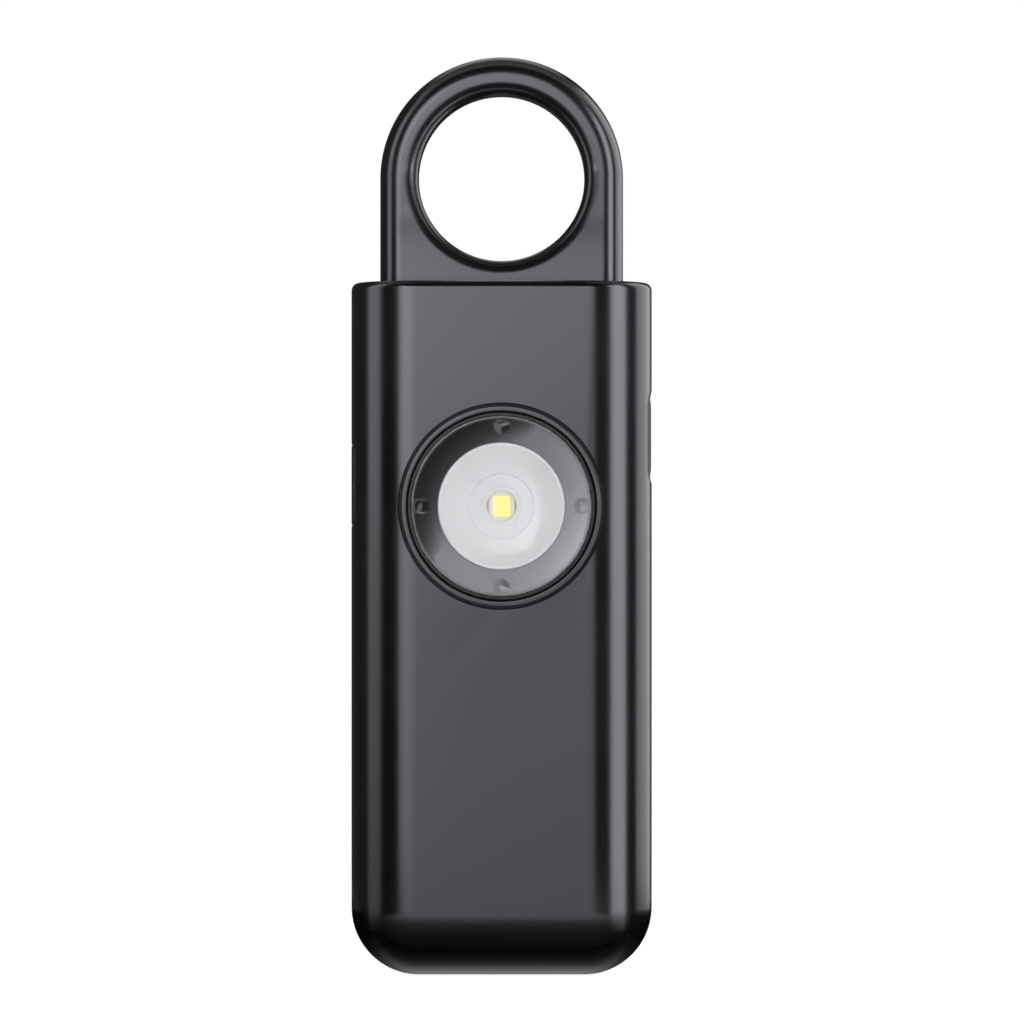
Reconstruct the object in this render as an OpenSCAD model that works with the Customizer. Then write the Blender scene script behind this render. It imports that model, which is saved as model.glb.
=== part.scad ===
// Personal safety alarm: a slim upright case with a lamp in its front, a light button and a
// covered charging socket in its sides, a siren behind its back and a ring that pulls out of its top.
// Frame: +Z up, +X to the right, the front faces -Y, and Z is zero at the foot of the case.

/* [Case] */
// Width of the case across the front
body_w = 31.5; // [29:0.1:36]
// Thickness of the case from front to back
body_d = 15.5; // [14.8:0.1:18]
// Height of the case without the pull ring
body_h = 72.5; // [70:0.1:82]
// Rounding of the upright edges and of the foot
edge_r = 7.1; // [6.2:0.1:7.3]
// Rounding of the top edge
top_edge_r = 0.6; // [0.3:0.05:0.9]
// Wall of both shells
wall = 1.6; // [1.3:0.05:1.9]
// Depth that the cover's lip reaches into the front shell
lip_depth = 1.2; // [0.8:0.1:1.8]
// Thickness of the cover's lip
lip_t = 0.8; // [0.6:0.1:1]
// Distance of the upper screws below the top
screw_drop = 7.5; // [7:0.1:9]
// Radius of the screw shanks
screw_r = 0.9; // [0.7:0.05:1.1]
// Length of the screw shanks
screw_l = 6.0; // [4:0.1:8]
// Radius of the screw heads
screw_head_r = 1.7; // [1.4:0.05:2]
// Height of the screw heads
screw_head_h = 1.2; // [0.9:0.1:1.5]

/* [Pull handle] */
// Outer radius of the ring, half the handle's width
ring_r = 12.75; // [11.5:0.05:13.2]
// Radius of the hole in the ring
ring_hole_r = 8.7; // [7:0.1:9.2]
// Height of the ring's centre above the case
ring_rise = 11.0; // [9.5:0.1:16]
// Thickness of the handle
handle_t = 6.0; // [5:0.1:6.6]
// Width of the rounding at the handle's outer edge
handle_edge_w = 1.9; // [1.6:0.05:2.2]
// Corner radius within that rounding
handle_edge_r = 1.4; // [1:0.05:1.5]
// Rounding of the hole's rims
ring_rim_r = 1.5; // [0.8:0.05:1.8]
// Depth of the well that the handle stands in
well_depth = 2.6; // [2:0.1:4]
// Radius of the plug pin
pin_r = 1.25; // [1:0.05:1.5]
// Length of the plug pin below the handle
pin_l = 8.2; // [6.5:0.1:9]
// Plastic left between the pin's end and the ring's hole
pin_cover = 1.35; // [1:0.05:2]
// Width of the jack socket
jack_w = 6.6; // [6:0.1:8]

/* [Lamp] */
// Distance of the lamp's centre below the top
lamp_drop = 23.4; // [22:0.1:26]
// Radius of the hole for the lamp
lamp_hole_r = 10.62; // [10:0.01:11]
// Black line between the shell and the bezel
bezel_gap = 0.26; // [0.15:0.01:0.35]
// Width of the bezel's visible lip
bezel_lip = 0.47; // [0.4:0.01:0.6]
// Black line between the bezel and the lens
lens_gap = 0.2; // [0.1:0.01:0.3]
// Width of the bevel at the lens's rim
lens_bevel = 0.5; // [0.3:0.01:0.6]
// Thickness of the lens at its rim
lens_t = 1.5; // [1.2:0.05:1.8]
// Radius of the reflector's rim
reflector_r = 6.57; // [6:0.01:7]
// Radius of the hole round the light source
led_hole_r = 1.71; // [1.5:0.01:2]
// Distance of the pegs' centres inside the lens's rim
peg_inset = 1.24; // [1:0.01:1.5]
// Radius of each peg
peg_r = 0.84; // [0.6:0.01:0.9]
// Width of the light source's yellow window
led_window_w = 1.9; // [1.5:0.05:2.2]
// Height of the light source's yellow window
led_window_h = 2.27; // [1.8:0.01:2.6]

/* [Side controls] */
// Distance of the button's centre below the top
button_drop = 16.2; // [15.5:0.1:18]
// Length of the button's window
button_window_l = 9.4; // [8:0.1:10.5]
// Width of the button's window
button_window_w = 5.0; // [4:0.1:5.4]
// Corner radius of the button's window
button_window_r = 1.37; // [0.8:0.01:1.8]
// Travel of the button
button_travel = 0.4; // [0.2:0.05:0.5]
// Distance of the charging port's centre below the top
port_drop = 21.2; // [20:0.1:24]
// Length of the port's window
port_window_l = 8.6; // [8:0.1:9.5]
// Width of the port's window
port_window_w = 4.7; // [4:0.1:5.2]
// Corner radius of the port's window
port_window_r = 1.2; // [0.8:0.05:1.6]
// Thickness of the soft plug in the port's window
plug_t = 1.3; // [1:0.05:1.5]
// Length of the charging socket's mouth side
socket_l = 7.5; // [7:0.1:7.8]
// Height of the charging socket on the board
socket_h = 2.7; // [2.4:0.05:3]
// Depth of the charging socket
socket_depth = 5.4; // [4.5:0.1:6]

/* [Electronics] */
// Thickness of the circuit board
board_t = 1.0; // [0.8:0.1:1.2]
// Length of the board below the lamp's centre
board_below = 12.8; // [12:0.1:14]
// Length of the board above the button's switch
board_above = 1.2; // [0.6:0.1:1.5]
// Thickness of the battery
battery_t = 5.4; // [4:0.1:5.8]
// Thickness of the foam pad under the battery
pad_t = 0.4; // [0.3:0.05:0.8]
// Radius of the insulated leads
lead_r = 0.4; // [0.3:0.05:0.5]

/* [Siren] */
// Height of the siren's centre above the foot
siren_z = 22.5; // [20:0.1:25]
// Radius of the siren's brass disc
siren_r = 11.0; // [9:0.1:11.5]
// Radius of the ceramic layer on the disc
ceramic_r = 8.0; // [6:0.1:8.5]
// Radius of each hole in the grille
grille_hole_r = 0.65; // [0.4:0.05:0.8]
// Distance between the rings of grille holes
grille_pitch = 2.1; // [1.9:0.05:2.2]

/* [Fits] */
// Gap round the handle in its well
well_gap = 0.15; // [0.1:0.01:0.25]
// Gap round the button and the soft plug in their windows
window_gap = 0.15; // [0.1:0.01:0.2]
// Running gap round the pin and the switch's plunger
running_gap = 0.06; // [0.03:0.01:0.09]
// Gap between pieces that are fixed together
seat_gap = 0.05; // [0.02:0.01:0.1]
// Room left round pieces that are held loosely
bay_gap = 0.4; // [0.3:0.05:0.6]

/* [Hidden] */
$fn = 96;

// Overshoot of cutting shapes past the faces that they cut
past = 1;
// Depth that bosses and ribs run into the wall that carries them
weld = 0.2;

// Case
flat_x = body_w / 2 - edge_r;
flat_y = body_d / 2 - edge_r;
front_y = -body_d / 2;
back_y = body_d / 2;
inner_top_r = 0.3;
well_wall = 1.2;
well_side_wall = 0.8;
well_corner_r = 1.5;
split_y = handle_t / 2 + well_gap + well_wall;
boss_wall = 1.3;
boss_r = screw_r + boss_wall;
screw_inset = 0.7;
screw_x = flat_x - screw_inset;
screw_foot_z = edge_r + screw_inset;
screw_levels = [screw_foot_z, body_h - screw_drop];
screw_sink = 0.8;
screw_seat_y = back_y - screw_head_h - screw_sink;
cover_boss_wall = 1;
cover_boss_r = screw_head_r + cover_boss_wall;
lip_top_z = body_h - screw_drop - boss_r;

// Handle and its socket
ring_z = body_h + ring_rise;
well_floor_z = body_h - well_depth;
handle_foot_z = well_floor_z + well_gap;
pin_hold = ring_z - ring_hole_r - pin_cover - handle_foot_z;
well_floor_t = 1.2;
jack_top_z = well_floor_z - well_floor_t - seat_gap;
jack_l = 7.4;
jack_bottom_z = jack_top_z - jack_l;
jack_cap = 1;
jack_front_wall = 0.69;
jack_back_wall = 1.1;
jack_front_y = -pin_r - running_gap - jack_front_wall;
jack_back_y = pin_r + running_gap + jack_back_wall;
corner_steps = 5;
bow_steps = 8;
pin_tip_z = handle_foot_z - pin_l;
groove_z = pin_tip_z + 2.6;
groove_h = 1.2;
spring_t = 0.2;
spring_w = 1.6;
jack_side_wall = 0.7;
spring_slot_x = jack_w / 2 - jack_side_wall;

// Depths of the board, which carries the jack, and of the lamp's seats in front of it
led_t = 0.7;
flange_t = 0.6;
reflector_flange_t = 0.35;
board_back_y = jack_front_y;
board_front_y = board_back_y - board_t;
dish_floor_y = board_front_y - led_t - seat_gap;
carrier_back_y = dish_floor_y - reflector_flange_t;
bezel_seat_y = carrier_back_y - 2 * flange_t;

// Lamp
lamp_z = body_h - lamp_drop;
bezel_r = lamp_hole_r - bezel_gap;
bezel_in_r = bezel_r - bezel_lip;
lens_r = bezel_in_r - lens_gap;
peg_circle_r = lens_r - peg_inset;
lens_sink = 0.25;
lens_front_y = front_y + lens_sink;
lens_back_y = lens_front_y + lens_t;
lens_dip = 0.25;
dip_steps = 6;
bezel_flange_w = 0.78;
bezel_flange_r = lamp_hole_r + bezel_flange_w;
flange_step = 0.2;
carrier_flange_r = bezel_flange_r - flange_step;
reflector_flange_w = 1.2;
reflector_flange_r = reflector_r + reflector_flange_w;

// Board and what stands on it
board_half_w = cavity_half_w(board_front_y) - bay_gap;
switch_l = 6.0;
button_z = body_h - button_drop;
board_bottom_z = lamp_z - board_below;
board_top_z = button_z + switch_l / 2 + board_above;
led_w = 2.8;
led_h = 3.5;
led_window_t = 0.1;
part_grid = 0.5;
control_chip_w = 3.9;
control_chip_h = 1.5;
control_chip_l = 4.9;
charge_chip_w = 2.9;
charge_chip_h = 1.1;
charge_chip_l = 1.6;
inductor_w = 4;
inductor_h = 2;
capacitor_w = 0.8;
capacitor_l = 1.6;
post_inset = 2.2;
post_r = 1.3;
post_margin = 0.2;
post_x = flat_x + post_r + post_margin;

// Side controls
side_y = board_back_y + socket_h / 2;
button_l = button_window_l - 2 * window_gap;
button_w = button_window_w - 2 * window_gap;
button_r = button_window_r - window_gap;
button_sink = 0.06;
ear_w = 2.4;
ear_t = 0.75;
ear_l = 0.8;
ear_face_x = cavity_half_w(abs(side_y) + ear_w / 2) - seat_gap;
button_back_x = ear_face_x - ear_t;
plunger_r = 0.75;
plunger_out = 0.9;
switch_face_x = button_back_x - plunger_out;
switch_depth = 3.4;
plunger_bore = 1.6;
port_z = body_h - port_drop;
plug_l = port_window_l - 2 * window_gap;
plug_w = port_window_w - 2 * window_gap;
plug_r = port_window_r - window_gap;
plug_chamfer = 0.35;
nail_groove = 0.3;
socket_mouth_x = -(body_w / 2 - wall - seat_gap);
socket_wall = 0.3;
socket_r = 0.8;
tongue_t = 0.6;

// Battery
battery_front_y = front_y + wall + pad_t;
battery_back_y = battery_front_y + battery_t;
battery_half_w = cavity_half_w(battery_front_y) - bay_gap;
battery_bottom_z = screw_foot_z + boss_r + bay_gap;
lead_room = 1.6;
battery_top_z = board_bottom_z - lead_room;
battery_r = 1.2;
pad_half_w = flat_x - bay_gap;
pad_margin = 2;

// Siren
siren_wall = 1.1;
siren_rib_margin = 0.2;
siren_rib_r = siren_r + siren_rib_margin;
siren_ring_t = 0.3;
disc_t = 0.3;
ceramic_t = 0.25;
disc_ahead = 0.9;
disc_back_y = split_y - disc_ahead;
siren_ring_back_y = disc_back_y + siren_ring_t;
disc_front_y = disc_back_y - disc_t;
ceramic_front_y = disc_front_y - ceramic_t;
grille_rings = 3;
mesh_t = 0.15;
mesh_margin = 1.2;
mesh_r = grille_pitch * grille_rings + grille_hole_r + mesh_margin;

// Leads
battery_lead_x = 6;
siren_lead_x = 2.5;
lead_overlap = 2.5;

// Half width of the space inside the case at a depth y
function cavity_half_w(y) =
    flat_x + sqrt(pow(edge_r - wall, 2) - pow(max(0, abs(y) - flat_y), 2));

// Shared shapes

// Upright section of the case's edge: round at the foot, eased at the top
module edge_profile(h, r, top_r) {
    intersection() {
        translate([0, r]) circle(r);
        square([r, r]);
    }
    translate([0, r]) square([r, h - r - top_r]);
    translate([0, h - top_r]) square([r - top_r, top_r]);
    intersection() {
        translate([r - top_r, h - top_r]) circle(top_r);
        translate([r - top_r, h - top_r]) square([top_r, top_r]);
    }
}

// The case's outer form, drawn in by an inset on all sides
module case_form(inset, top_r) {
    r = edge_r - inset;
    h = body_h - 2 * inset;
    translate([0, 0, inset]) {
        rotate([90, 0, 90]) translate([0, 0, -flat_x]) linear_extrude(2 * flat_x) {
            for (m = [0, 1]) mirror([m, 0]) translate([flat_y, 0]) edge_profile(h, r, top_r);
            translate([-flat_y, 0]) square([2 * flat_y, h]);
        }
        for (m = [0, 1]) mirror([m, 0, 0]) translate([flat_x, 0, 0]) {
            rotate([90, 0, 0]) translate([0, 0, -flat_y]) linear_extrude(2 * flat_y)
                edge_profile(h, r, top_r);
            for (n = [0, 1]) mirror([0, n, 0]) translate([0, flat_y, 0])
                rotate_extrude(angle = 90) edge_profile(h, r, top_r);
        }
    }
}

// Everything in front of the parting plane between the shells
module front_half() {
    translate([-body_w, -body_d, -past]) cube([2 * body_w, body_d + split_y, body_h + 2 * past]);
}

// Everything behind the parting plane
module back_half() {
    translate([-body_w, split_y, -past]) cube([2 * body_w, body_d, body_h + 2 * past]);
}

// Cylinder along Y from y0 to y1
module rod_y(r, y0, y1) {
    translate([0, y0, 0]) rotate([-90, 0, 0]) cylinder(r = r, h = y1 - y0);
}

// Box from one corner to the opposite one
module box(low, high) {
    translate(low) cube(high - low);
}

module rounded_rect(w, l, r) {
    square([w - 2 * r, l], center = true);
    square([w, l - 2 * r], center = true);
    for (sx = [-1, 1], sy = [-1, 1]) translate([sx * (w / 2 - r), sy * (l / 2 - r)]) circle(r);
}

// Round-cornered bar along X: w in Y, l in Z, centred on a height z
module side_bar(w, l, r, z, x0, x1) {
    translate([x0, side_y, z]) rotate([90, 0, 90]) linear_extrude(x1 - x0) rounded_rect(w, l, r);
}

// Ring turned about the lamp's axis from a profile of [radius, y] points
module lamp_turned(points) {
    translate([0, 0, lamp_z]) rotate([-90, 0, 0]) rotate_extrude() polygon(points);
}

module at_screws() {
    for (m = [0, 1], z = screw_levels) mirror([m, 0, 0]) translate([screw_x, 0, z]) children();
}

module at_pegs(r) {
    for (a = [0:90:270]) translate([0, 0, lamp_z]) rotate([0, a, 0]) translate([r, 0, 0]) children();
}

// Lead in a plane of constant x, which leaves its start and meets its end upright
function lead_point(s, e, rise, drop, t) =
    pow(1 - t, 3) * s + 3 * t * pow(1 - t, 2) * (s + [0, 0, rise])
    + 3 * t * t * (1 - t) * (e - [0, 0, drop]) + pow(t, 3) * e;

module lead(s, e, rise, drop) {
    sides = 8;
    steps = 12;
    path = [for (i = [0:steps]) lead_point(s, e, rise, drop, i / steps)];
    tangent = [for (i = [0:steps]) i == 0 || i == steps ? [0, 0, 1] : path[i + 1] - path[i - 1]];
    points = [for (i = [0:steps], k = [0:sides - 1])
        let (t = tangent[i] / norm(tangent[i]), a = 360 * k / sides)
        path[i] + lead_r * (cos(a) * [1, 0, 0] + sin(a) * [0, t[2], -t[1]])];
    around = [for (i = [0:steps - 1], k = [0:sides - 1])
        let (n = (k + 1) % sides)
        each [[i * sides + k, i * sides + n, (i + 1) * sides + n],
            [i * sides + k, (i + 1) * sides + n, (i + 1) * sides + k]]];
    foot = [for (k = [1:sides - 2]) [0, k + 1, k]];
    head = [for (k = [1:sides - 2]) [steps * sides, steps * sides + k, steps * sides + k + 1]];
    polyhedron(points, [for (f = concat(around, foot, head)) [f[0], f[2], f[1]]]);
}

// Case

module front_shell() {
    color("#18191b") difference() {
        union() {
            difference() {
                intersection() {
                    case_form(0, top_edge_r);
                    front_half();
                }
                case_form(wall, inner_top_r);
            }
            front_shell_bosses();
        }
        at_screws() rod_y(screw_r + running_gap, screw_seat_y - screw_l - past, split_y + past);
        translate([0, 0, well_floor_z]) linear_extrude(well_depth + past) handle_section(well_gap);
        translate([0, 0, well_floor_z - well_floor_t - past])
            cylinder(r = pin_r + running_gap, h = well_floor_t + 2 * past);
        translate([0, 0, lamp_z]) {
            rod_y(lamp_hole_r, front_y - past, bezel_seat_y + past);
            rod_y(bezel_flange_r + seat_gap, bezel_seat_y, board_front_y);
        }
        side_bar(button_window_w, button_window_l, button_window_r, button_z,
            button_back_x - past, body_w / 2 + past);
        side_bar(port_window_w, port_window_l, port_window_r, port_z,
            -body_w / 2 - past, socket_mouth_x + past);
    }
}

// Screw bosses, board posts, the lamp's seat and the handle's well inside the front shell
module front_shell_bosses() {
    root_y = front_y + wall - weld;
    at_screws() rod_y(boss_r, root_y, split_y);
    for (m = [0, 1], z = [board_bottom_z + post_inset, board_top_z - post_inset]) mirror([m, 0, 0])
        translate([post_x, 0, z]) rod_y(post_r, root_y, board_front_y);
    translate([0, 0, lamp_z]) rod_y(bezel_flange_r, root_y, bezel_seat_y);
    translate([0, 0, well_floor_z - well_floor_t])
        linear_extrude(well_depth + well_floor_t - wall + weld)
        rounded_rect(2 * (ring_r + well_gap + well_side_wall), 2 * split_y, well_corner_r);
}

module rear_cover() {
    root_y = back_y - wall + weld;
    color("#161719") difference() {
        union() {
            difference() {
                intersection() {
                    case_form(0, top_edge_r);
                    back_half();
                }
                case_form(wall, inner_top_r);
            }
            at_screws() rod_y(cover_boss_r, split_y, root_y);
            translate([0, 0, siren_z]) difference() {
                rod_y(siren_rib_r, siren_ring_back_y, root_y);
                rod_y(siren_rib_r - siren_wall, siren_ring_back_y - past, back_y + past);
            }
            cover_lip();
        }
        at_screws() {
            rod_y(screw_r + running_gap, split_y - past, back_y);
            rod_y(screw_head_r + window_gap, screw_seat_y, back_y + past);
        }
        translate([0, 0, siren_z]) grille_holes();
    }
}

// Lip round the sides and foot of the cover, just inside the front shell
module cover_lip() {
    reach = cavity_half_w(split_y) - seat_gap;
    round_r = reach - flat_x;
    difference() {
        translate([0, split_y + wall, 0]) rotate([90, 0, 0]) linear_extrude(lip_depth + wall) difference() {
            lip_outline(reach, round_r);
            lip_outline(reach - lip_t, round_r - lip_t);
        }
        translate([0, 0, siren_z])
            rod_y(siren_r + seat_gap, split_y - lip_depth - past, siren_ring_back_y);
    }
}

// Foot and sides of a round-cornered outline, cut off below the upper screws
module lip_outline(half_w, r) {
    translate([-half_w, edge_r]) square([2 * half_w, lip_top_z - edge_r]);
    translate([-flat_x, edge_r - r]) square([2 * flat_x, r]);
    for (s = [-1, 1]) translate([s * flat_x, edge_r]) circle(r);
}

// Holes in rings round a middle hole, six more in each ring
module grille_holes() {
    rod_y(grille_hole_r, back_y - wall - past, back_y + past);
    for (ring = [1:grille_rings], k = [0:6 * ring - 1]) rotate([0, 360 * k / (6 * ring), 0])
        translate([ring * grille_pitch, 0, 0]) rod_y(grille_hole_r, back_y - wall - past, back_y + past);
}

module cover_screws() {
    slot_w = 0.4;
    slot_depth = 0.6;
    slot_l = 2;
    color("#8a8c90") at_screws() difference() {
        union() {
            rod_y(screw_r, screw_seat_y - screw_l, screw_seat_y + screw_head_h / 2);
            rod_y(screw_head_r, screw_seat_y, screw_seat_y + screw_head_h);
        }
        for (a = [0, 90]) rotate([0, a, 0]) translate([0, screw_seat_y + screw_head_h, 0])
            cube([slot_l, 2 * slot_depth, slot_w], center = true);
    }
}

// Pull handle

// Point on a circle
function arc_point(centre, r, angle) = centre + r * [cos(angle), sin(angle)];

// Right edge of the handle's section, grown by a gap: a small corner, a long shallow round, a corner
function handle_edge(grow) =
    let (
        reach = ring_r + grow,
        h = handle_t / 2 + grow,
        r = handle_edge_r,
        flat = reach - handle_edge_w,
        bow_r = (pow(handle_edge_w, 2) + pow(h - r, 2) - r * r) / (2 * (handle_edge_w - r)),
        bow_x = reach - bow_r,
        turn = atan2(h - r, flat - bow_x),
        step = (90 - turn) / corner_steps
    )
    concat(
        [for (i = [0:corner_steps - 1]) arc_point([flat, r - h], r, i * step - 90)],
        [for (i = [0:bow_steps]) arc_point([bow_x, 0], bow_r, turn * (2 * i / bow_steps - 1))],
        [for (i = [1:corner_steps]) arc_point([flat, h - r], r, turn + i * step)]);

module handle_section(grow) {
    edge = handle_edge(grow);
    polygon(concat(edge, [for (i = [len(edge) - 1:-1:0]) [-edge[i][0], edge[i][1]]]));
}

module handle_half_section() {
    polygon(concat([[0, -handle_t / 2]], handle_edge(0), [[0, handle_t / 2]]));
}

// What is turned out of the handle for its hole, leaving round rims
module ring_hole_section() {
    h = handle_t / 2;
    rim = ring_hole_r + ring_rim_r;
    difference() {
        translate([0, -h - past]) square([rim, handle_t + 2 * past]);
        for (s = [-1, 1]) translate([rim, s * (h - ring_rim_r)]) circle(ring_rim_r);
        translate([ring_hole_r, ring_rim_r - h]) square([ring_rim_r + past, handle_t - 2 * ring_rim_r]);
    }
}

module pull_handle() {
    color("#17181a") difference() {
        union() {
            translate([0, 0, ring_z]) rotate([90, 0, 0]) rotate_extrude(angle = 180) handle_half_section();
            translate([0, 0, handle_foot_z]) linear_extrude(ring_z - handle_foot_z) handle_section(0);
        }
        translate([0, 0, ring_z]) rotate([90, 0, 0]) rotate_extrude() ring_hole_section();
        translate([0, 0, handle_foot_z - past]) cylinder(r = pin_r + seat_gap / 2, h = pin_hold + past);
    }
}

// Plug pin with a tapered tip and a groove that the contact springs snap into
module handle_pin() {
    tip_l = 0.9;
    groove_d = 0.3;
    color("#b9bbbd") rotate_extrude() polygon([
        [0, pin_tip_z],
        [pin_r / 2, pin_tip_z],
        [pin_r, pin_tip_z + tip_l],
        [pin_r, groove_z],
        [pin_r - groove_d, groove_z + groove_d],
        [pin_r - groove_d, groove_z + groove_h - groove_d],
        [pin_r, groove_z + groove_h],
        [pin_r, handle_foot_z + pin_hold - seat_gap],
        [0, handle_foot_z + pin_hold - seat_gap]]);
}

module jack_socket() {
    color("#26282b") difference() {
        box([-jack_w / 2, jack_front_y, jack_bottom_z], [jack_w / 2, jack_back_y, jack_top_z]);
        translate([0, 0, jack_bottom_z - past]) cylinder(r = pin_r + running_gap, h = jack_l + 2 * past);
        box([-spring_slot_x, -spring_w / 2 - seat_gap, jack_bottom_z - past],
            [spring_slot_x, spring_w / 2 + seat_gap, jack_top_z - jack_cap]);
    }
}

// Bent strip that lies along the slot's wall and bows in beside the pin
module contact_spring() {
    wall_x = spring_slot_x - seat_gap;
    near_x = pin_r + running_gap + spring_t;
    bow_z = groove_z + groove_h / 2;
    low_z = jack_bottom_z;
    foot_l = 1.2;
    top_lean = 0.3;
    high_z = jack_top_z - jack_cap - 2 * seat_gap;
    outer = [[wall_x, low_z], [wall_x, low_z + foot_l], [near_x, bow_z], [wall_x - top_lean, high_z]];
    inner = [for (p = outer) p - [spring_t, 0]];
    color("#b08a3c") rotate([90, 0, 0]) translate([0, 0, -spring_w / 2]) linear_extrude(spring_w)
        polygon(concat(outer, [for (i = [3:-1:0]) inner[i]]));
}

module contact_spring_left() {
    mirror([1, 0, 0]) contact_spring();
}

module contact_spring_right() {
    contact_spring();
}

// Lamp

module lens_bezel() {
    ease = 0.1;
    color("#1b1c1e") lamp_turned([
        [bezel_in_r, front_y + ease],
        [bezel_in_r + ease, front_y],
        [bezel_r - ease, front_y],
        [bezel_r, front_y + ease],
        [bezel_r, bezel_seat_y],
        [bezel_flange_r, bezel_seat_y],
        [bezel_flange_r, bezel_seat_y + flange_t],
        [bezel_in_r, bezel_seat_y + flange_t]]);
}

// Clear cover: bevelled rim, face that dips towards the middle, pegs on its back
module light_lens() {
    rim_r = lens_r - lens_bevel;
    color("#dfe6e8", 0.4) {
        lamp_turned(concat(
            [[0, lens_back_y], [0, lens_front_y + lens_dip]],
            [for (i = [0:dip_steps]) let (share = i / dip_steps)
                [reflector_r + (rim_r - reflector_r) * share, lens_front_y + dip(share)]],
            [[lens_r, lens_front_y + lens_bevel], [lens_r, lens_back_y]]));
        at_pegs(peg_circle_r) rod_y(peg_r, lens_back_y - seat_gap, carrier_back_y - seat_gap);
    }
}

// Depth of the dished face at a share of the way out to its rim
function dip(share) = lens_dip * (1 - share * share);

// Dark glossy ring behind the lens that holds the pegs and the reflector
module lens_carrier() {
    hole_r = reflector_r + seat_gap;
    out_r = lens_r;
    color("#55575a") difference() {
        lamp_turned(concat(
            [for (i = [0:dip_steps]) let (share = i / dip_steps)
                [hole_r + (out_r - hole_r) * share, lens_back_y + seat_gap + dip(share)]],
            [[out_r, bezel_seat_y + flange_t],
            [carrier_flange_r, bezel_seat_y + flange_t],
            [carrier_flange_r, carrier_back_y],
            [hole_r, carrier_back_y]]));
        at_pegs(peg_circle_r) rod_y(peg_r + seat_gap / 2, lens_back_y - past, carrier_back_y + past);
    }
}

// White dish in two slopes, open at its middle for the light source
module reflector() {
    rim_y = lens_back_y + lens_dip + 2 * seat_gap;
    rim_w = 0.25;
    step_r = 3.42;
    step_rise = 0.55;
    step_y = dish_floor_y - step_rise;
    floor_t = 0.3;
    color("#f2f2ef") lamp_turned([
        [reflector_r, rim_y],
        [reflector_r, carrier_back_y],
        [reflector_flange_r, carrier_back_y],
        [reflector_flange_r, dish_floor_y],
        [led_hole_r, dish_floor_y],
        [led_hole_r, dish_floor_y - floor_t],
        [step_r, step_y],
        [reflector_r - rim_w, rim_y]]);
}

module led_package() {
    top_y = board_front_y - led_t;
    color("#efe9c8") difference() {
        box([-led_w / 2, top_y, lamp_z - led_h / 2], [led_w / 2, board_front_y, lamp_z + led_h / 2]);
        led_window(0, past);
    }
}

module led_phosphor() {
    color("#f6ea7a") led_window(seat_gap / 2, 0);
}

// The light source's window, smaller by a gap all round and drawn out forwards by a length
module led_window(gap, forward) {
    top_y = board_front_y - led_t;
    box([gap - led_window_w / 2, top_y - forward, lamp_z - led_window_h / 2 + gap],
        [led_window_w / 2 - gap, top_y + led_window_t - gap, lamp_z + led_window_h / 2 - gap]);
}

// Board and the parts on it

// Plate under the lamp with a tab up to the jack and a notch beside the button
module main_board() {
    notch_x = button_back_x - button_travel - bay_gap;
    tab_margin = 1;
    tab_x = jack_w / 2 + tab_margin;
    color("#1f5a35") difference() {
        union() {
            box([-board_half_w, board_front_y, board_bottom_z], [board_half_w, board_back_y, board_top_z]);
            box([-tab_x, board_front_y, board_top_z - past], [tab_x, board_back_y, jack_top_z]);
        }
        box([notch_x, board_front_y - past, button_z - button_l / 2 - ear_l - bay_gap],
            [body_w, board_back_y + past, body_h]);
    }
}

// Part on the back of the board: its place in grid steps from the lamp's axis, its width, height and length
module board_part(steps, size) {
    low = [steps[0] * part_grid - size[0] / 2, board_back_y, lamp_z + steps[1] * part_grid - size[2] / 2];
    box(low, low + size);
}

module control_chip() {
    color("#202124") board_part([0, -6], [control_chip_w, control_chip_h, control_chip_l]);
}

module charge_chip() {
    color("#2a2b2e") board_part([-11, -13], [charge_chip_w, charge_chip_h, charge_chip_l]);
}

module boost_inductor() {
    color("#3c3d40") board_part([13, -11], [inductor_w, inductor_h, inductor_w]);
}

module board_capacitors() {
    spots = [[-19, -14], [-19, -18], [0, -16], [4, 6], [-4, 6], [19, -20]];
    color("#b59a6a") for (steps = spots) board_part(steps, [capacitor_w, capacitor_w, capacitor_l]);
}

// Side controls

module side_button() {
    color("#1a1b1d") {
        intersection() {
            side_bar(button_w, button_l, button_r, button_z, button_back_x, body_w / 2);
            case_form(button_sink, top_edge_r);
        }
        box([button_back_x, side_y - ear_w / 2, button_z - button_l / 2 - ear_l],
            [ear_face_x, side_y + ear_w / 2, button_z + button_l / 2 + ear_l]);
    }
}

module button_switch() {
    color("#303236") difference() {
        box([switch_face_x - switch_depth, board_back_y, button_z - switch_l / 2],
            [switch_face_x, board_back_y + socket_h, button_z + switch_l / 2]);
        plunger_rod(plunger_r + running_gap, switch_face_x - plunger_bore, switch_face_x + past);
    }
}

module switch_plunger() {
    color("#c9cacc") plunger_rod(plunger_r, switch_face_x - plunger_bore + button_travel + bay_gap,
        button_back_x);
}

module plunger_rod(r, x0, x1) {
    translate([x0, side_y, button_z]) rotate([0, 90, 0]) cylinder(r = r, h = x1 - x0);
}

module charge_socket() {
    color("#b7babd") difference() {
        side_bar(socket_h, socket_l, socket_r, port_z, socket_mouth_x, socket_mouth_x + socket_depth);
        side_bar(socket_h - 2 * socket_wall, socket_l - 2 * socket_wall, socket_r - socket_wall, port_z,
            socket_mouth_x - past, socket_mouth_x + socket_depth - socket_wall);
    }
}

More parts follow.
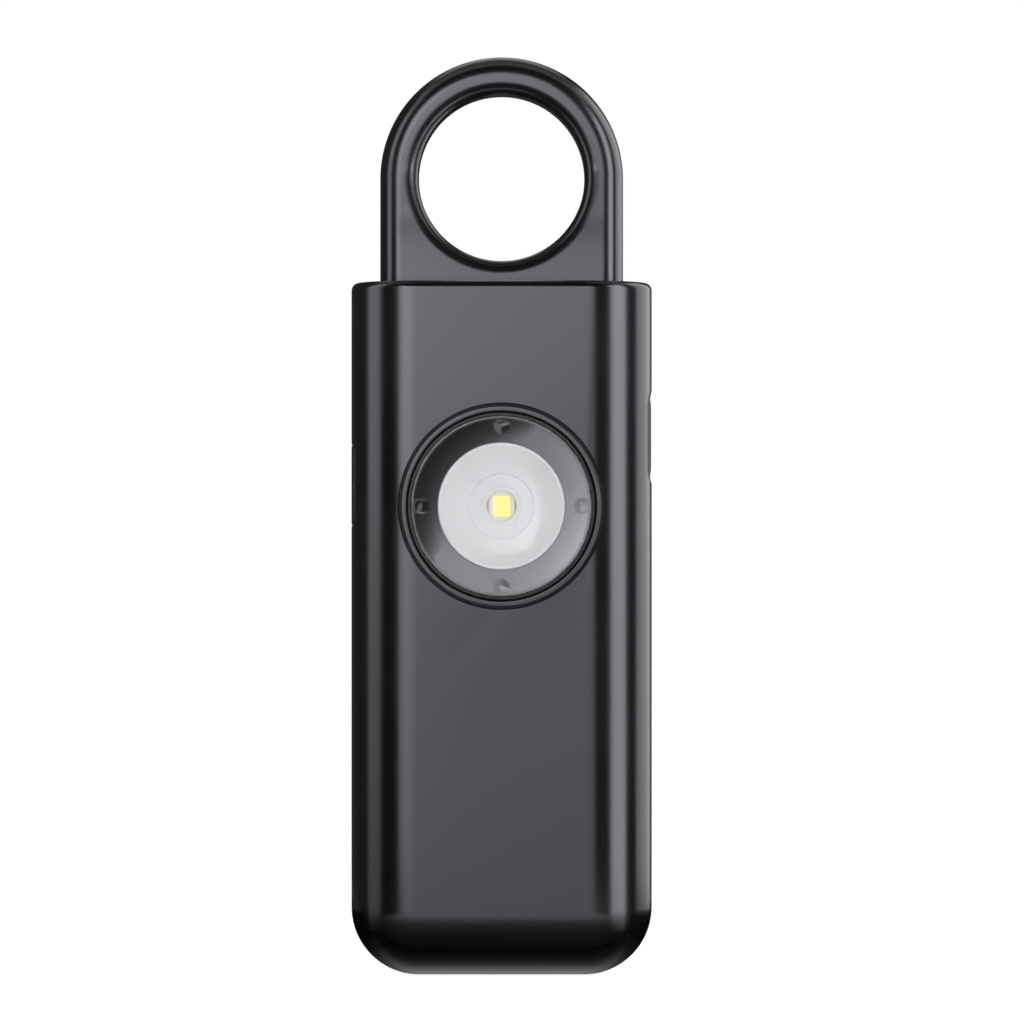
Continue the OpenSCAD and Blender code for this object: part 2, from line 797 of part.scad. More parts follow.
module socket_tongue() {
    back_x = socket_mouth_x + socket_depth - socket_wall - seat_gap;
    base_l = 1.2;
    half_l = socket_l / 2 - socket_wall - socket_r / 2;
    half_h = socket_h / 2 - socket_wall - seat_gap;
    color("#232427") {
        box([back_x - base_l, side_y - half_h, port_z - half_l], [back_x, side_y + half_h, port_z + half_l]);
        box([socket_mouth_x + base_l, side_y - tongue_t / 2, port_z - half_l + socket_r / 2],
            [back_x, side_y + tongue_t / 2, port_z + half_l - socket_r / 2]);
    }
}

// Soft plug, flush with the case, that swings out about the lower edge of its face
module port_plug() {
    face_x = -body_w / 2;
    color("#1c1d1f") difference() {
        intersection() {
            side_bar(plug_w, plug_l, plug_r, port_z, face_x, face_x + plug_t);
            case_form(0, top_edge_r);
        }
        translate([face_x + plug_t, side_y, port_z + plug_l / 2]) rotate([0, 45, 0])
            cube([plug_chamfer * sqrt(2), body_d, plug_chamfer * sqrt(2)], center = true);
        box([face_x - past, side_y - plug_w, port_z - nail_groove / 2],
            [face_x + nail_groove, side_y + plug_w, port_z + nail_groove / 2]);
    }
}

// Battery

module battery_cell() {
    color("#9a9da1") translate([0, 0, battery_bottom_z]) linear_extrude(battery_top_z - battery_bottom_z)
        translate([0, (battery_front_y + battery_back_y) / 2])
        rounded_rect(2 * battery_half_w, battery_t, battery_r);
}

module battery_pad() {
    color("#2c2d2f") box([-pad_half_w, front_y + wall, battery_bottom_z + pad_margin],
        [pad_half_w, battery_front_y, battery_top_z - pad_margin]);
}

module battery_lead(x) {
    foot = [x, battery_back_y - lead_r - seat_gap, battery_top_z];
    head = [x, board_back_y + lead_r + seat_gap, board_bottom_z + lead_overlap];
    lead(foot, head, lead_overlap / 2, lead_overlap / 2);
}

module battery_lead_red() {
    color("#b3261e") battery_lead(battery_lead_x);
}

module battery_lead_black() {
    color("#1a1a1b") battery_lead(-battery_lead_x);
}

// Siren

module siren_disc() {
    color("#c8a24a") translate([0, 0, siren_z]) rod_y(siren_r, disc_front_y, disc_back_y);
}

module siren_ceramic() {
    color("#e6e3da") translate([0, 0, siren_z]) rod_y(ceramic_r, ceramic_front_y, disc_front_y);
}

// Soft ring that seals the disc to the cover's rib
module siren_ring() {
    color("#202123") translate([0, 0, siren_z]) difference() {
        rod_y(siren_r, disc_back_y, siren_ring_back_y);
        rod_y(siren_rib_r - siren_wall, disc_back_y - past, siren_ring_back_y + past);
    }
}

module siren_lead(x) {
    foot = [x, ceramic_front_y - lead_r - seat_gap, siren_z + ceramic_r / 2];
    head = [x, board_back_y + lead_r + seat_gap, board_bottom_z + 2 * lead_overlap];
    lead(foot, head, battery_top_z - foot[2], lead_overlap / 2);
}

module siren_lead_red() {
    color("#b3261e") siren_lead(siren_lead_x);
}

module siren_lead_black() {
    color("#1a1a1b") siren_lead(-siren_lead_x);
}

module dust_mesh() {
    color("#0f1011") translate([0, 0, siren_z]) rod_y(mesh_r, back_y - wall - mesh_t, back_y - wall);
}

front_shell();
rear_cover();
cover_screws();
pull_handle();
handle_pin();
jack_socket();
contact_spring_left();
contact_spring_right();
lens_bezel();
light_lens();
lens_carrier();
reflector();
led_package();
led_phosphor();
main_board();
control_chip();
charge_chip();
boost_inductor();
board_capacitors();
side_button();
button_switch();
switch_plunger();
charge_socket();
socket_tongue();
port_plug();
battery_cell();
battery_pad();
battery_lead_red();
battery_lead_black();
siren_disc();
siren_ceramic();
siren_ring();
siren_lead_red();
siren_lead_black();
dust_mesh();
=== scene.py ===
"""Studio scene of a black personal alarm with a pull ring, a front lamp and a siren in its back."""
import math

import bmesh
import bpy
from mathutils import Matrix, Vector


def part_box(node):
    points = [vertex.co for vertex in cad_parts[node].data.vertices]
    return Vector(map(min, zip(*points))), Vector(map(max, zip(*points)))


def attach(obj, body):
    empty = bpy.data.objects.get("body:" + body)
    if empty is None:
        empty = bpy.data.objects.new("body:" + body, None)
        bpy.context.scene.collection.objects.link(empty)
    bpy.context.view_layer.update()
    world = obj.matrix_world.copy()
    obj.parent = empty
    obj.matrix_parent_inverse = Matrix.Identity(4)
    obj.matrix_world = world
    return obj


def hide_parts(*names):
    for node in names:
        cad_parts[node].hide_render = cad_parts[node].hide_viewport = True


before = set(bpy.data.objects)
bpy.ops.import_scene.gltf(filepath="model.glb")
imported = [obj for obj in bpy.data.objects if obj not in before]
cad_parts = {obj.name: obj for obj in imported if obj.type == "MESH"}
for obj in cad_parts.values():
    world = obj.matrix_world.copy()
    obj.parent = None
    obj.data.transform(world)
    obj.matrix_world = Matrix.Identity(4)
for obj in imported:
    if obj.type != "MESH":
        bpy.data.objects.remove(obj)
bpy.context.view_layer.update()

# All lengths below are in millimetres, and each mesh is scaled to metres as it is made.
MM = 0.001


def node_box(node):
    """Lowest and highest corner of a node at rest, in millimetres."""
    low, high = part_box(node)
    return [v / MM for v in low], [v / MM for v in high]


# Driving dimensions of the moulding that the boxes of the frame do not give
EDGE_R = 7.1
TOP_R = 0.8
WALL = 1.6
INNER_TOP_R = 0.3
SEAM = 0.12
MOUTH = 0.12
PORT_MOUTH = MOUTH / 3
WELL_GAP = 0.15
WELL_FLOOR = 1.2
WELL_SIDE = 0.8
WELL_CORNER_R = 1.5
RUN_GAP = 0.06
SEAT_GAP = 0.05
PAST = 1.0
WELD = 0.2
SEAM_CLEAR = 0.01
ON_FACE = 0.012
ON_RIM = 0.03

# Case
shell_low, shell_high = node_box("front_shell")
cover_high = node_box("rear_cover")[1]
half_w = shell_high[0]
body_h = shell_high[2]
front_y = shell_low[1]
split_y = shell_high[1]
back_y = cover_high[1]
flat_x = half_w - EDGE_R
flat_y = (back_y - front_y) / 2 - EDGE_R

# Screws
screw_low, screw_high = node_box("cover_screws")
SCREW_HEAD_R = 1.7
SCREW_HEAD_H = 1.2
SCREW_R = 0.9
SCREW_DOME_H = 0.55
SCREW_DOME_W = 0.9
SCREW_TIP_L = 0.3
THREAD_PITCH = 0.6
THREAD_DEPTH = 0.14
CROSS_TURN = math.pi / 5
# Rows of the cross recess: height above the head, half length, half width
CROSS_ROWS = ((-0.6, 0.45, 0.16), (0.3, 1.05, 0.22))
screw_x = screw_high[0] - SCREW_HEAD_R
screw_levels = [screw_low[2] + SCREW_HEAD_R, screw_high[2] - SCREW_HEAD_R]
screw_top_y = screw_high[1]
screw_seat_y = screw_top_y - SCREW_HEAD_H
screw_tip_y = screw_low[1]
BOSS_R = 2.2
COVER_BOSS_R = 2.7

# Pull handle
handle_low, handle_high = node_box("pull_handle")
pin_high = node_box("handle_pin")[1]
ring_r = handle_high[0]
ring_z = handle_high[2] - ring_r
handle_foot_z = handle_low[2]
handle_half_t = handle_high[1]
well_floor_z = handle_foot_z - WELL_GAP
pin_r = pin_high[0]
RING_HOLE_R = 8.7
RING_RIM_R = 1.5
HANDLE_EDGE_W = 2.3
HANDLE_EDGE_R = 2.0

# Lamp
bezel_low, bezel_high = node_box("lens_bezel")
lens_low, lens_high = node_box("light_lens")
carrier_high = node_box("lens_carrier")[1]
dish_low, dish_high = node_box("reflector")
chip_low, chip_high = node_box("led_package")
window_low, window_high = node_box("led_phosphor")
lamp_z = (bezel_low[2] + bezel_high[2]) / 2
bezel_flange_r = bezel_high[0]
bezel_back_y = bezel_high[1]
carrier_flange_r = carrier_high[0]
carrier_back_y = carrier_high[1]
lens_r = lens_high[0]
lens_front_y = lens_low[1]
LENS_T = 1.5
lens_back_y = lens_front_y + LENS_T
FLANGE_T = 0.6
bezel_seat_y = bezel_back_y - FLANGE_T
LAMP_HOLE_R = 10.62
BEZEL_R = 10.36
BEZEL_IN_R = 9.89
BEZEL_EASE = 0.09
CARRIER_EASE = 0.06
CARRIER_RIM_W = 0.28
LENS_EDGE_R = 0.12
LENS_DIP = 0.61
LENS_BOW = 0.32
DISH_R = 6.57
DISH_STEP_R = 3.42
DISH_STEP_RISE = 0.55
DISH_FLOOR_T = 0.3
DISH_RIM_W = 0.25
DISH_LEDGE = 0.07
DISH_LEDGE_DEPTH = 1.6 * DISH_LEDGE
DISH_WELL_W = 0.42
DISH_BOW = 0.46
DISH_EASE = 0.04
CHIP_HOLE_R = 1.71
CHIP_HOLE_TAPER = 0.24
CHIP_R = 0.12
CHIP_EDGE = 0.08
CHIP_WINDOW_R = 0.3
CHIP_WINDOW_SLOPE = 0.06
CHIP_WINDOW_SINK = 0.4
CHIP_WINDOW_FALL_W = 0.7
PEG_R = 0.84
PEG_INSET = 1.24
PEG_HOLE_FLOOR = 0.3
PEG_HOLE_FLARE = 0.04
PEG_HOLE_OUT = 0.5
# Rows of a peg's hole at its mouth: growth and depth
PEG_HOLE_ROWS = ((0, PEG_HOLE_FLARE), (2 * PEG_HOLE_FLARE, -PEG_HOLE_FLARE),
                 (2 * PEG_HOLE_FLARE, -PEG_HOLE_OUT))
PEG_ROOT = 0.8
PEG_SLANT = 12
PEG_SLANT_SWING = 5
glass_r = lens_r - CARRIER_RIM_W - SEAT_GAP
glass_face_r = glass_r - LENS_EDGE_R
glass_t = lens_back_y - lens_front_y - LENS_DIP
peg_at_r = lens_r - PEG_INSET
peg_end_y = carrier_back_y - PEG_HOLE_FLOOR
PEG_TURNS = (0, math.pi / 2, math.pi, 3 * math.pi / 2)
dish_rim_y = dish_low[1]
dish_floor_y = dish_high[1]
board_front_y = chip_high[1]
window_half_w = window_high[0]
window_half_h = (window_high[2] - window_low[2]) / 2

# Side controls
button_low, button_high = node_box("side_button")
plug_low, plug_high = node_box("port_plug")
WINDOW_GAP = 0.15
BUTTON_SINK = 0.06
BUTTON_R = 1.22
BUTTON_END_L = 1.5
BUTTON_END_FALL = 0.3
BUTTON_EASE = 0.14
PLUG_EASE = 0.12
FACE_STOP = 0.12
FACE_STEP = 0.25
PLUG_R = 1.05
EAR_L = 0.8
EAR_T = 0.75
EAR_W = 2.4
NAIL_GROOVE = 0.3
NAIL_FLARE = 0.1
PLUG_CHAMFER = 0.35
side_y = (plug_low[1] + plug_high[1]) / 2
button_z = (button_low[2] + button_high[2]) / 2
button_l = button_high[2] - button_low[2] - 2 * EAR_L
button_w = button_high[1] - button_low[1]
button_back_x = button_low[0]
plug_z = (plug_low[2] + plug_high[2]) / 2
plug_l = plug_high[2] - plug_low[2]
plug_w = plug_high[1] - plug_low[1]
plug_back_x = plug_high[0]

# Siren
disc_low, disc_high = node_box("siren_disc")
ring_high = node_box("siren_ring")[1]
siren_z = (disc_low[2] + disc_high[2]) / 2
SIREN_RIB_GAP = 0.2
siren_rib_r = disc_high[0] + SIREN_RIB_GAP
SIREN_RIB_WALL = 1.1
GRILLE_HOLE_R = 0.65
GRILLE_PITCH = 2.1
GRILLE_RINGS = 3
GRILLE_FLARE = 0.08
LIP_DEPTH = 1.2
LIP_T = 0.8


# Mesh tools

SHARP = 28
LENS_SHARP = 20
DISH_SHARP = 24
ALIKE = 0.9
TINY = 1e-6
NEAR = 1e-4
DOUBLES = 1e-8
SMALLEST_R = 0.02
STRAIGHT = math.radians(165)
EASE_SHARE = 0.4
TOOL_OUT = 4.0


def face_outwards(work):
    """Turns the faces of a closed form outwards."""
    bmesh.ops.recalc_face_normals(work, faces=work.faces)
    if work.calc_volume(signed=True) < 0:
        bmesh.ops.reverse_faces(work, faces=work.faces)


def linked(name, data):
    """Object of a mesh or a camera, placed in the scene."""
    made = bpy.data.objects.new(name, data)
    bpy.context.scene.collection.objects.link(made)
    return made


def new_piece(name, points, faces):
    """Object from points in millimetres and faces of point numbers, with its faces turned outwards."""
    mesh = bpy.data.meshes.new(name)
    mesh.from_pydata([Vector(p) * MM for p in points], [], faces)
    work = bmesh.new()
    work.from_mesh(mesh)
    bmesh.ops.remove_doubles(work, verts=work.verts, dist=DOUBLES)
    face_outwards(work)
    work.to_mesh(mesh)
    work.free()
    return linked(name, mesh)


def combine(target, tools, operation):
    """Joins, cuts or intersects target with each tool in turn and removes the tools."""
    for tool in tools:
        step = target.modifiers.new("step", "BOOLEAN")
        step.operation = operation
        step.solver = "MANIFOLD"
        step.object = tool
        graph = bpy.context.evaluated_depsgraph_get()
        made = bpy.data.meshes.new_from_object(target.evaluated_get(graph))
        target.modifiers.clear()
        old = target.data
        made.name = old.name
        target.data = made
        bpy.data.meshes.remove(old)
        bpy.data.objects.remove(tool)
    return target


def stacked(name, rings):
    """Closed form through rings of equally many points, capped at both ends."""
    count = len(rings[0])
    points = [p for ring in rings for p in ring]
    faces = [list(range(count)), [len(points) - count + k for k in range(count)]]
    for i in range(len(rings) - 1):
        for k in range(count):
            a = i * count + k
            b = i * count + (k + 1) % count
            faces.append([a, b, b + count, a + count])
    return new_piece(name, points, faces)


def turned(name, profile, steps=192):
    """Form turned about the lamp's axis from a closed profile of (radius, y) points."""
    points = []
    rows = []
    for r, y in profile:
        if r < TINY:
            rows.append([len(points)] * steps)
            points.append((0, y, lamp_z))
            continue
        rows.append(list(range(len(points), len(points) + steps)))
        for k in range(steps):
            turn = 2 * math.pi * k / steps
            points.append((r * math.cos(turn), y, lamp_z + r * math.sin(turn)))
    faces = []
    for i, row in enumerate(rows):
        after = rows[(i + 1) % len(rows)]
        for k in range(steps):
            n = (k + 1) % steps
            corners = list(dict.fromkeys([row[k], row[n], after[n], after[k]]))
            if len(corners) > 2:
                faces.append(corners)
    return new_piece(name, points, faces)


def eased(profile, radius, steps=4):
    """Closed profile with each corner rounded, less where its sides are short."""
    out = []
    count = len(profile)
    for i, corner in enumerate(profile):
        here = Vector(corner)
        back = Vector(profile[i - 1]) - here
        ahead = Vector(profile[(i + 1) % count]) - here
        if min(here.x, back.length, ahead.length) < TINY:
            out.append(tuple(here))
            continue
        angle = back.angle(ahead)
        if angle > STRAIGHT:
            out.append(tuple(here))
            continue
        reach = min(radius / math.tan(angle / 2), EASE_SHARE * back.length, EASE_SHARE * ahead.length)
        start = here + back.normalized() * reach
        end = here + ahead.normalized() * reach
        for k in range(steps + 1):
            t = k / steps
            out.append(tuple((1 - t) ** 2 * start + 2 * t * (1 - t) * here + t * t * end))
    return out


def circle_outline(r, steps):
    """Round outline that can grow."""
    def outline(grow):
        turns = [2 * math.pi * k / steps for k in range(steps)]
        return [((r + grow) * math.cos(turn), (r + grow) * math.sin(turn)) for turn in turns]
    return outline


def bar_outline(w, l, r, corner=10, side=6):
    """Round-cornered outline whose points keep their numbers as it grows."""
    def outline(grow):
        radius = max(r + grow, SMALLEST_R)
        inner_u = w / 2 + grow - radius
        inner_v = l / 2 + grow - radius
        points = []
        for quarter in range(4):
            corner_u = inner_u if quarter in (0, 3) else -inner_u
            corner_v = inner_v if quarter in (0, 1) else -inner_v
            for k in range(corner + 1):
                turn = math.pi / 2 * (quarter + k / corner)
                points.append((corner_u + radius * math.cos(turn), corner_v + radius * math.sin(turn)))
            next_u = -corner_u if quarter in (0, 2) else corner_u
            next_v = -corner_v if quarter in (1, 3) else corner_v
            turn = math.pi / 2 * (quarter + 1)
            start = points[-1]
            end = (next_u + radius * math.cos(turn), next_v + radius * math.sin(turn))
            for k in range(1, side):
                t = k / side
                points.append((start[0] + (end[0] - start[0]) * t, start[1] + (end[1] - start[1]) * t))
        return points
    return outline


def flared_tool(name, outline, height, deep, place, flare=MOUTH):
    """Cutting tool down to a depth, with a small flare where it leaves a curved face."""
    wide = outline(2 * flare)
    plain = outline(0)
    return stacked(name, [
        [place(u, v, deep) for u, v in plain],
        [place(u, v, height(u, v) - flare) for u, v in plain],
        [place(u, v, height(u, v) + flare) for u, v in wide],
        [place(u, v, height(u, v) + TOOL_OUT) for u, v in wide]])


def faced_bar(name, outline, height, back, ease, place, reach):
    """Bar with a rounded edge and a face that follows the case."""
    rings = [[place(u, v, back) for u, v in outline(0)]]
    for k in range(6):
        turn = math.pi / 2 * k / 5
        rings.append([place(u, v, height(u, v) - ease * (1 - math.sin(turn)))
                      for u, v in outline(-ease * (1 - math.cos(turn)))])
    inset = ease
    while inset < reach:
        inset = min(inset + FACE_STEP, reach)
        rings.append([place(u, v, height(u, v)) for u, v in outline(-inset)])
    return stacked(name, rings)


def raised(name, section, levels):
    """Upright bar of one section between two levels."""
    return stacked(name, [[(x, y, z) for x, y in section] for z in levels])


def driven(name, section, depths):
    """Bar of one section along Y between two depths."""
    return stacked(name, [[(x, y, z) for x, z in section] for y in depths])


def rod(name, r, y0, y1, x, z, steps=48):
    """Round bar along Y between two depths."""
    return driven(name, [(x + u, z + v) for u, v in circle_outline(r, steps)(0)], (y0, y1))


def block(name, low, high):
    """Bar with square edges between two corners."""
    corners = [(low[0], low[1]), (high[0], low[1]), (high[0], high[1]), (low[0], high[1])]
    return raised(name, corners, (low[2], high[2]))


def smooth(mesh, angle):
    """Smooth faces, and sharp edges from an angle in degrees."""
    mesh.polygons.foreach_set("use_smooth", [True] * len(mesh.polygons))
    mesh.set_sharp_from_angle(angle=math.radians(angle))


def shade(piece, angle=SHARP):
    """Smooth faces with face-weighted normals, so that flats stay flat."""
    smooth(piece.data, angle)
    weigh = piece.modifiers.new("flat_faces", "WEIGHTED_NORMAL")
    weigh.keep_sharp = True
    return piece


def shade_by(piece, normal_at):
    """Smooth faces whose normals come from the form itself wherever normal_at knows it."""
    mesh = piece.data
    smooth(mesh, SHARP)
    normals = [Vector()] * len(mesh.loops)
    for face in mesh.polygons:
        spots = [mesh.vertices[v].co / MM for v in face.vertices]
        found = [normal_at(p) for p in spots]
        if all(n is not None and n.dot(face.normal) > ALIKE for n in found):
            for loop, normal in zip(face.loop_indices, found):
                normals[loop] = normal
    mesh.normals_split_custom_set(normals)
    return piece


# Case form

def case_depth(x):
    """Distance of the case's front or back face from the middle plane at a place x."""
    return flat_y + math.sqrt(max(EDGE_R ** 2 - max(abs(x) - flat_x, 0) ** 2, 0))


def case_reach(y):
    """Distance of the case's side from the middle plane at a depth y."""
    return flat_x + math.sqrt(max(EDGE_R ** 2 - max(abs(y) - flat_y, 0) ** 2, 0))


def case_normal(p):
    """Outward direction of the case at a point on it, or None off it."""
    out = Vector((p.x - min(max(p.x, -flat_x), flat_x), p.y - min(max(p.y, -flat_y), flat_y), 0))
    if p.z < EDGE_R:
        out.z = p.z - EDGE_R
        gap = out.length - EDGE_R
    elif p.z > body_h - TOP_R - NEAR:
        side = out.length
        out = out.normalized() * max(side - (EDGE_R - TOP_R), 0)
        out.z = max(p.z - (body_h - TOP_R), 0)
        gap = out.length - TOP_R
    else:
        gap = out.length - EDGE_R
    if abs(gap) > ON_FACE:
        return None
    return out.normalized()


def case_half(name, inset, top_r, end_y, seam, mirror):
    """Closed half of the case's form, drawn in by an inset, from its front to a flat end at end_y."""
    r = EDGE_R - inset
    top_z = body_h - inset
    arc = 22
    stations = [(-flat_y, -math.pi / 2 + math.pi / 2 * k / arc) for k in range(arc + 1)]
    cut_y = end_y - seam
    if end_y > flat_y:
        end_turn = math.asin((cut_y - flat_y) / r)
        stations += [(flat_y, end_turn * k / 12) for k in range(13)]
    else:
        end_turn = math.asin((cut_y + flat_y) / r)
        start = -math.pi / 2
        stations = [(-flat_y, start + (end_turn - start) * k / arc) for k in range(arc + 1)]
    last_core = stations[-1][0]
    fillet = [math.pi / 2 * k / 6 for k in range(7)]

    def side_ring(core_y, turn):
        """From the top edge down the right side and round the foot to its middle."""
        y = core_y + r * math.sin(turn)
        rho = r * math.cos(turn)
        ring = []
        for psi in reversed(fillet):
            small = r - top_r + top_r * math.cos(psi)
            aim = math.asin(min(max((cut_y - last_core) / small, -1), 1))
            if last_core > 0:
                bent = turn * aim / end_turn if core_y > 0 else turn
            else:
                bent = -math.pi / 2 + (turn + math.pi / 2) * (aim + math.pi / 2) / (end_turn + math.pi / 2)
            ring.append((flat_x + small * math.cos(bent), core_y + small * math.sin(bent),
                         top_z - top_r + top_r * math.sin(psi)))
        for k in range(arc + 1):
            gamma = math.pi / 2 * k / arc
            ring.append((flat_x + rho * math.cos(gamma), y, EDGE_R - rho * math.sin(gamma)))
        return ring

    right = [side_ring(*s) for s in stations]
    if seam:
        true_turn = math.asin((end_y - last_core) / r)
        rho = r * math.cos(true_turn)
        ring = []
        for psi in reversed(fillet):
            small = r - top_r + top_r * math.cos(psi)
            wide = math.sqrt(small ** 2 - (end_y - last_core) ** 2)
            ring.append((flat_x + wide - seam * math.cos(psi), end_y,
                         top_z - top_r + (top_r - seam) * math.sin(psi)))
        for k in range(arc + 1):
            gamma = math.pi / 2 * k / arc
            drawn = rho - seam
            ring.append((flat_x + drawn * math.cos(gamma), end_y, EDGE_R - drawn * math.sin(gamma)))
        right.append(ring)
    rings = [side + [(-x, y, z) for x, y, z in reversed(side)] for side in right]
    sign = -1 if mirror else 1
    points = [(x, sign * y, z) for ring in rings for x, y, z in ring]
    count = len(rings[0])
    low = len(fillet) - 1
    faces = [list(range(low, count - low)), [(len(rings) - 1) * count + k for k in range(count)]]
    faces += [[k, k + 1, count - 2 - k, count - 1 - k] for k in range(low)]
    for i in range(len(rings) - 1):
        for k in range(count - 1):
            a = i * count + k
            faces.append([a, a + 1, a + 1 + count, a + count])
    top_right = [i * count for i in range(len(rings) - (1 if seam else 0))]
    faces.append(top_right + [a + count - 1 for a in reversed(top_right)])
    if seam:
        a = (len(rings) - 2) * count
        faces.append([a, a + count, a + 2 * count - 1, a + count - 1])
    return new_piece(name, points, faces)


def on_front(z):
    """Places across, up and out from the front at a height."""
    return lambda u, v, h: (u, -h, z + v)


def on_back(x, z):
    """Places across, up and out from a spot on the back."""
    return lambda u, v, h: (x + u, h, z + v)


def on_right(z):
    """Places across, up and out from the right side at a height."""
    return lambda u, v, h: (h, side_y + u, z + v)


def on_left(z):
    """Places across, up and out from the left side at a height."""
    return lambda u, v, h: (-h, side_y - u, z + v)


def handle_bow(reach, h):
    """Radius, middle and half angle of the long shallow round on the handle's edge."""
    r = HANDLE_EDGE_R
    bow_r = (HANDLE_EDGE_W ** 2 + (h - r) ** 2 - r * r) / (2 * (HANDLE_EDGE_W - r))
    bow_x = reach - bow_r
    return bow_r, bow_x, math.atan2(h - r, reach - HANDLE_EDGE_W - bow_x)


def handle_edge(grow, corner=8, bow=14):
    """Right edge of the handle's section: a small corner, a long shallow round and a corner again."""
    reach = ring_r + grow
    h = handle_half_t + grow
    r = HANDLE_EDGE_R
    flat = reach - HANDLE_EDGE_W
    bow_r, bow_x, turn = handle_bow(reach, h)
    points = []
    for k in range(corner):
        a = -math.pi / 2 + (math.pi / 2 - turn) * k / corner
        points.append((flat + r * math.cos(a), r - h + r * math.sin(a)))
    for k in range(bow + 1):
        a = turn * (2 * k / bow - 1)
        points.append((bow_x + bow_r * math.cos(a), bow_r * math.sin(a)))
    for k in range(1, corner + 1):
        a = turn + (math.pi / 2 - turn) * k / corner
        points.append((flat + r * math.cos(a), h - r + r * math.sin(a)))
    return points


def handle_outline(grow):
    """Outline of the handle's foot, seen from above."""
    edge = handle_edge(grow)
    return edge + [(-u, v) for u, v in reversed(edge)]


def grown_well(grow):
    """Outline of the well that the handle stands in."""
    return handle_outline(WELL_GAP + grow)


def upright(u, v, h):
    """Places across, back and up."""
    return (u, v, h)


def case_top(u, v):
    """Height of the case's level top."""
    return body_h


def screw_places():
    """Side and level of each screw."""
    return [(s * screw_x, z) for s in (-1, 1) for z in screw_levels]


def window_outline(w, l, r):
    """Outline of a side window, wider than its piece by a gap all round."""
    return bar_outline(w + 2 * WINDOW_GAP, l + 2 * WINDOW_GAP, r + WINDOW_GAP)


def front_shell():
    """Front shell with its well for the handle, the lamp's seat, screw bosses and side windows."""
    shell = case_half("shell_front", 0, TOP_R, split_y, SEAM, False)
    combine(shell, [case_half("hollow", WALL, INNER_TOP_R, split_y + PAST, 0, False)], "DIFFERENCE")
    root_y = front_y + WALL - WELD
    cup = bar_outline(2 * (ring_r + WELL_GAP + WELL_SIDE), 2 * (split_y - SEAM_CLEAR), WELL_CORNER_R)(0)
    cup_low = well_floor_z - WELL_FLOOR
    cup_high = body_h - WALL + WELD
    added = [raised("cup", cup, (cup_low, cup_high)),
             rod("seat", bezel_flange_r, root_y, bezel_seat_y, 0, lamp_z, 192)]
    added += [rod("boss", BOSS_R, root_y, split_y - SEAM_CLEAR, x, z) for x, z in screw_places()]
    combine(shell, added, "UNION")
    tools = [
        flared_tool("well", grown_well, case_top, well_floor_z, upright),
        raised("pin_way", circle_outline(pin_r + RUN_GAP, 64)(0), (cup_low - PAST, well_floor_z + PAST)),
        flared_tool("lamp_hole", circle_outline(LAMP_HOLE_R, 192), lambda u, v: case_depth(u),
                    -bezel_seat_y - PAST, on_front(lamp_z)),
        rod("flange_room", bezel_flange_r + SEAT_GAP, bezel_seat_y, board_front_y, 0, lamp_z, 192),
        flared_tool("button_window", window_outline(button_w, button_l, BUTTON_R),
                    lambda u, v: case_reach(side_y + u), button_back_x - PAST, on_right(button_z)),
        flared_tool("port_window", window_outline(plug_w, plug_l, PLUG_R),
                    lambda u, v: case_reach(side_y - u), -plug_back_x - PAST, on_left(plug_z), PORT_MOUTH)]
    tools += [rod("screw_way", SCREW_R + RUN_GAP, screw_tip_y - PAST, split_y + PAST, x, z)
              for x, z in screw_places()]
    combine(shell, tools, "DIFFERENCE")
    return shade_by(shell, case_normal)


def lip_outline(reach, r, top_z, steps=16):
    """Sides and foot of the cover's lip as an open line from the upper right to the upper left."""
    right = [(reach, top_z)]
    for k in range(steps + 1):
        gamma = math.pi / 2 * k / steps
        right.append((flat_x + r * math.cos(gamma), EDGE_R - r * math.sin(gamma)))
    return right + [(-x, z) for x, z in reversed(right)]


def rear_cover():
    """Rear cover with its lip, the siren's rib and grille, and sunk seats for four screws."""
    cover = case_half("cover_back", 0, TOP_R, -split_y, SEAM, True)
    combine(cover, [case_half("hollow", WALL, INNER_TOP_R, PAST - split_y, 0, True)], "DIFFERENCE")
    root_y = back_y - WALL + WELD
    added = [rod("boss", COVER_BOSS_R, split_y + SEAM_CLEAR, root_y, x, z) for x, z in screw_places()]
    rib = rod("rib", siren_rib_r, ring_high[1], root_y, 0, siren_z, 128)
    rib_room_r = siren_rib_r - SIREN_RIB_WALL
    combine(rib, [rod("rib_room", rib_room_r, ring_high[1] - PAST, back_y, 0, siren_z, 128)], "DIFFERENCE")
    inner_r = EDGE_R - WALL
    lip_r = math.sqrt(inner_r ** 2 - (split_y - flat_y) ** 2) - SEAT_GAP
    lip_top = screw_levels[1] - BOSS_R
    outer = lip_outline(flat_x + lip_r, lip_r, lip_top)
    inner = lip_outline(flat_x + lip_r - LIP_T, lip_r - LIP_T, lip_top)
    lip = driven("lip", outer + inner[::-1], (split_y - LIP_DEPTH, split_y + WALL))
    combine(cover, added + [rib, lip], "UNION")
    tools = []
    for x, z in screw_places():
        tools.append(rod("screw_way", SCREW_R + RUN_GAP, split_y - PAST, back_y, x, z))
        tools.append(flared_tool("screw_seat", circle_outline(SCREW_HEAD_R + WINDOW_GAP, 64),
                                 lambda u, v, x=x: case_depth(x + u), screw_seat_y, on_back(x, z)))
    holes = [(0, 0)]
    for ring in range(1, GRILLE_RINGS + 1):
        for k in range(6 * ring):
            turn = 2 * math.pi * k / (6 * ring)
            holes.append((ring * GRILLE_PITCH * math.cos(turn), ring * GRILLE_PITCH * math.sin(turn)))
    for x, z in holes:
        tools.append(flared_tool("grille_hole", circle_outline(GRILLE_HOLE_R, 32), lambda u, v: back_y,
                                 back_y - WALL - PAST, on_back(x, siren_z + z), GRILLE_FLARE))
    combine(cover, tools, "DIFFERENCE")
    return shade_by(cover, case_normal)


# Pull handle

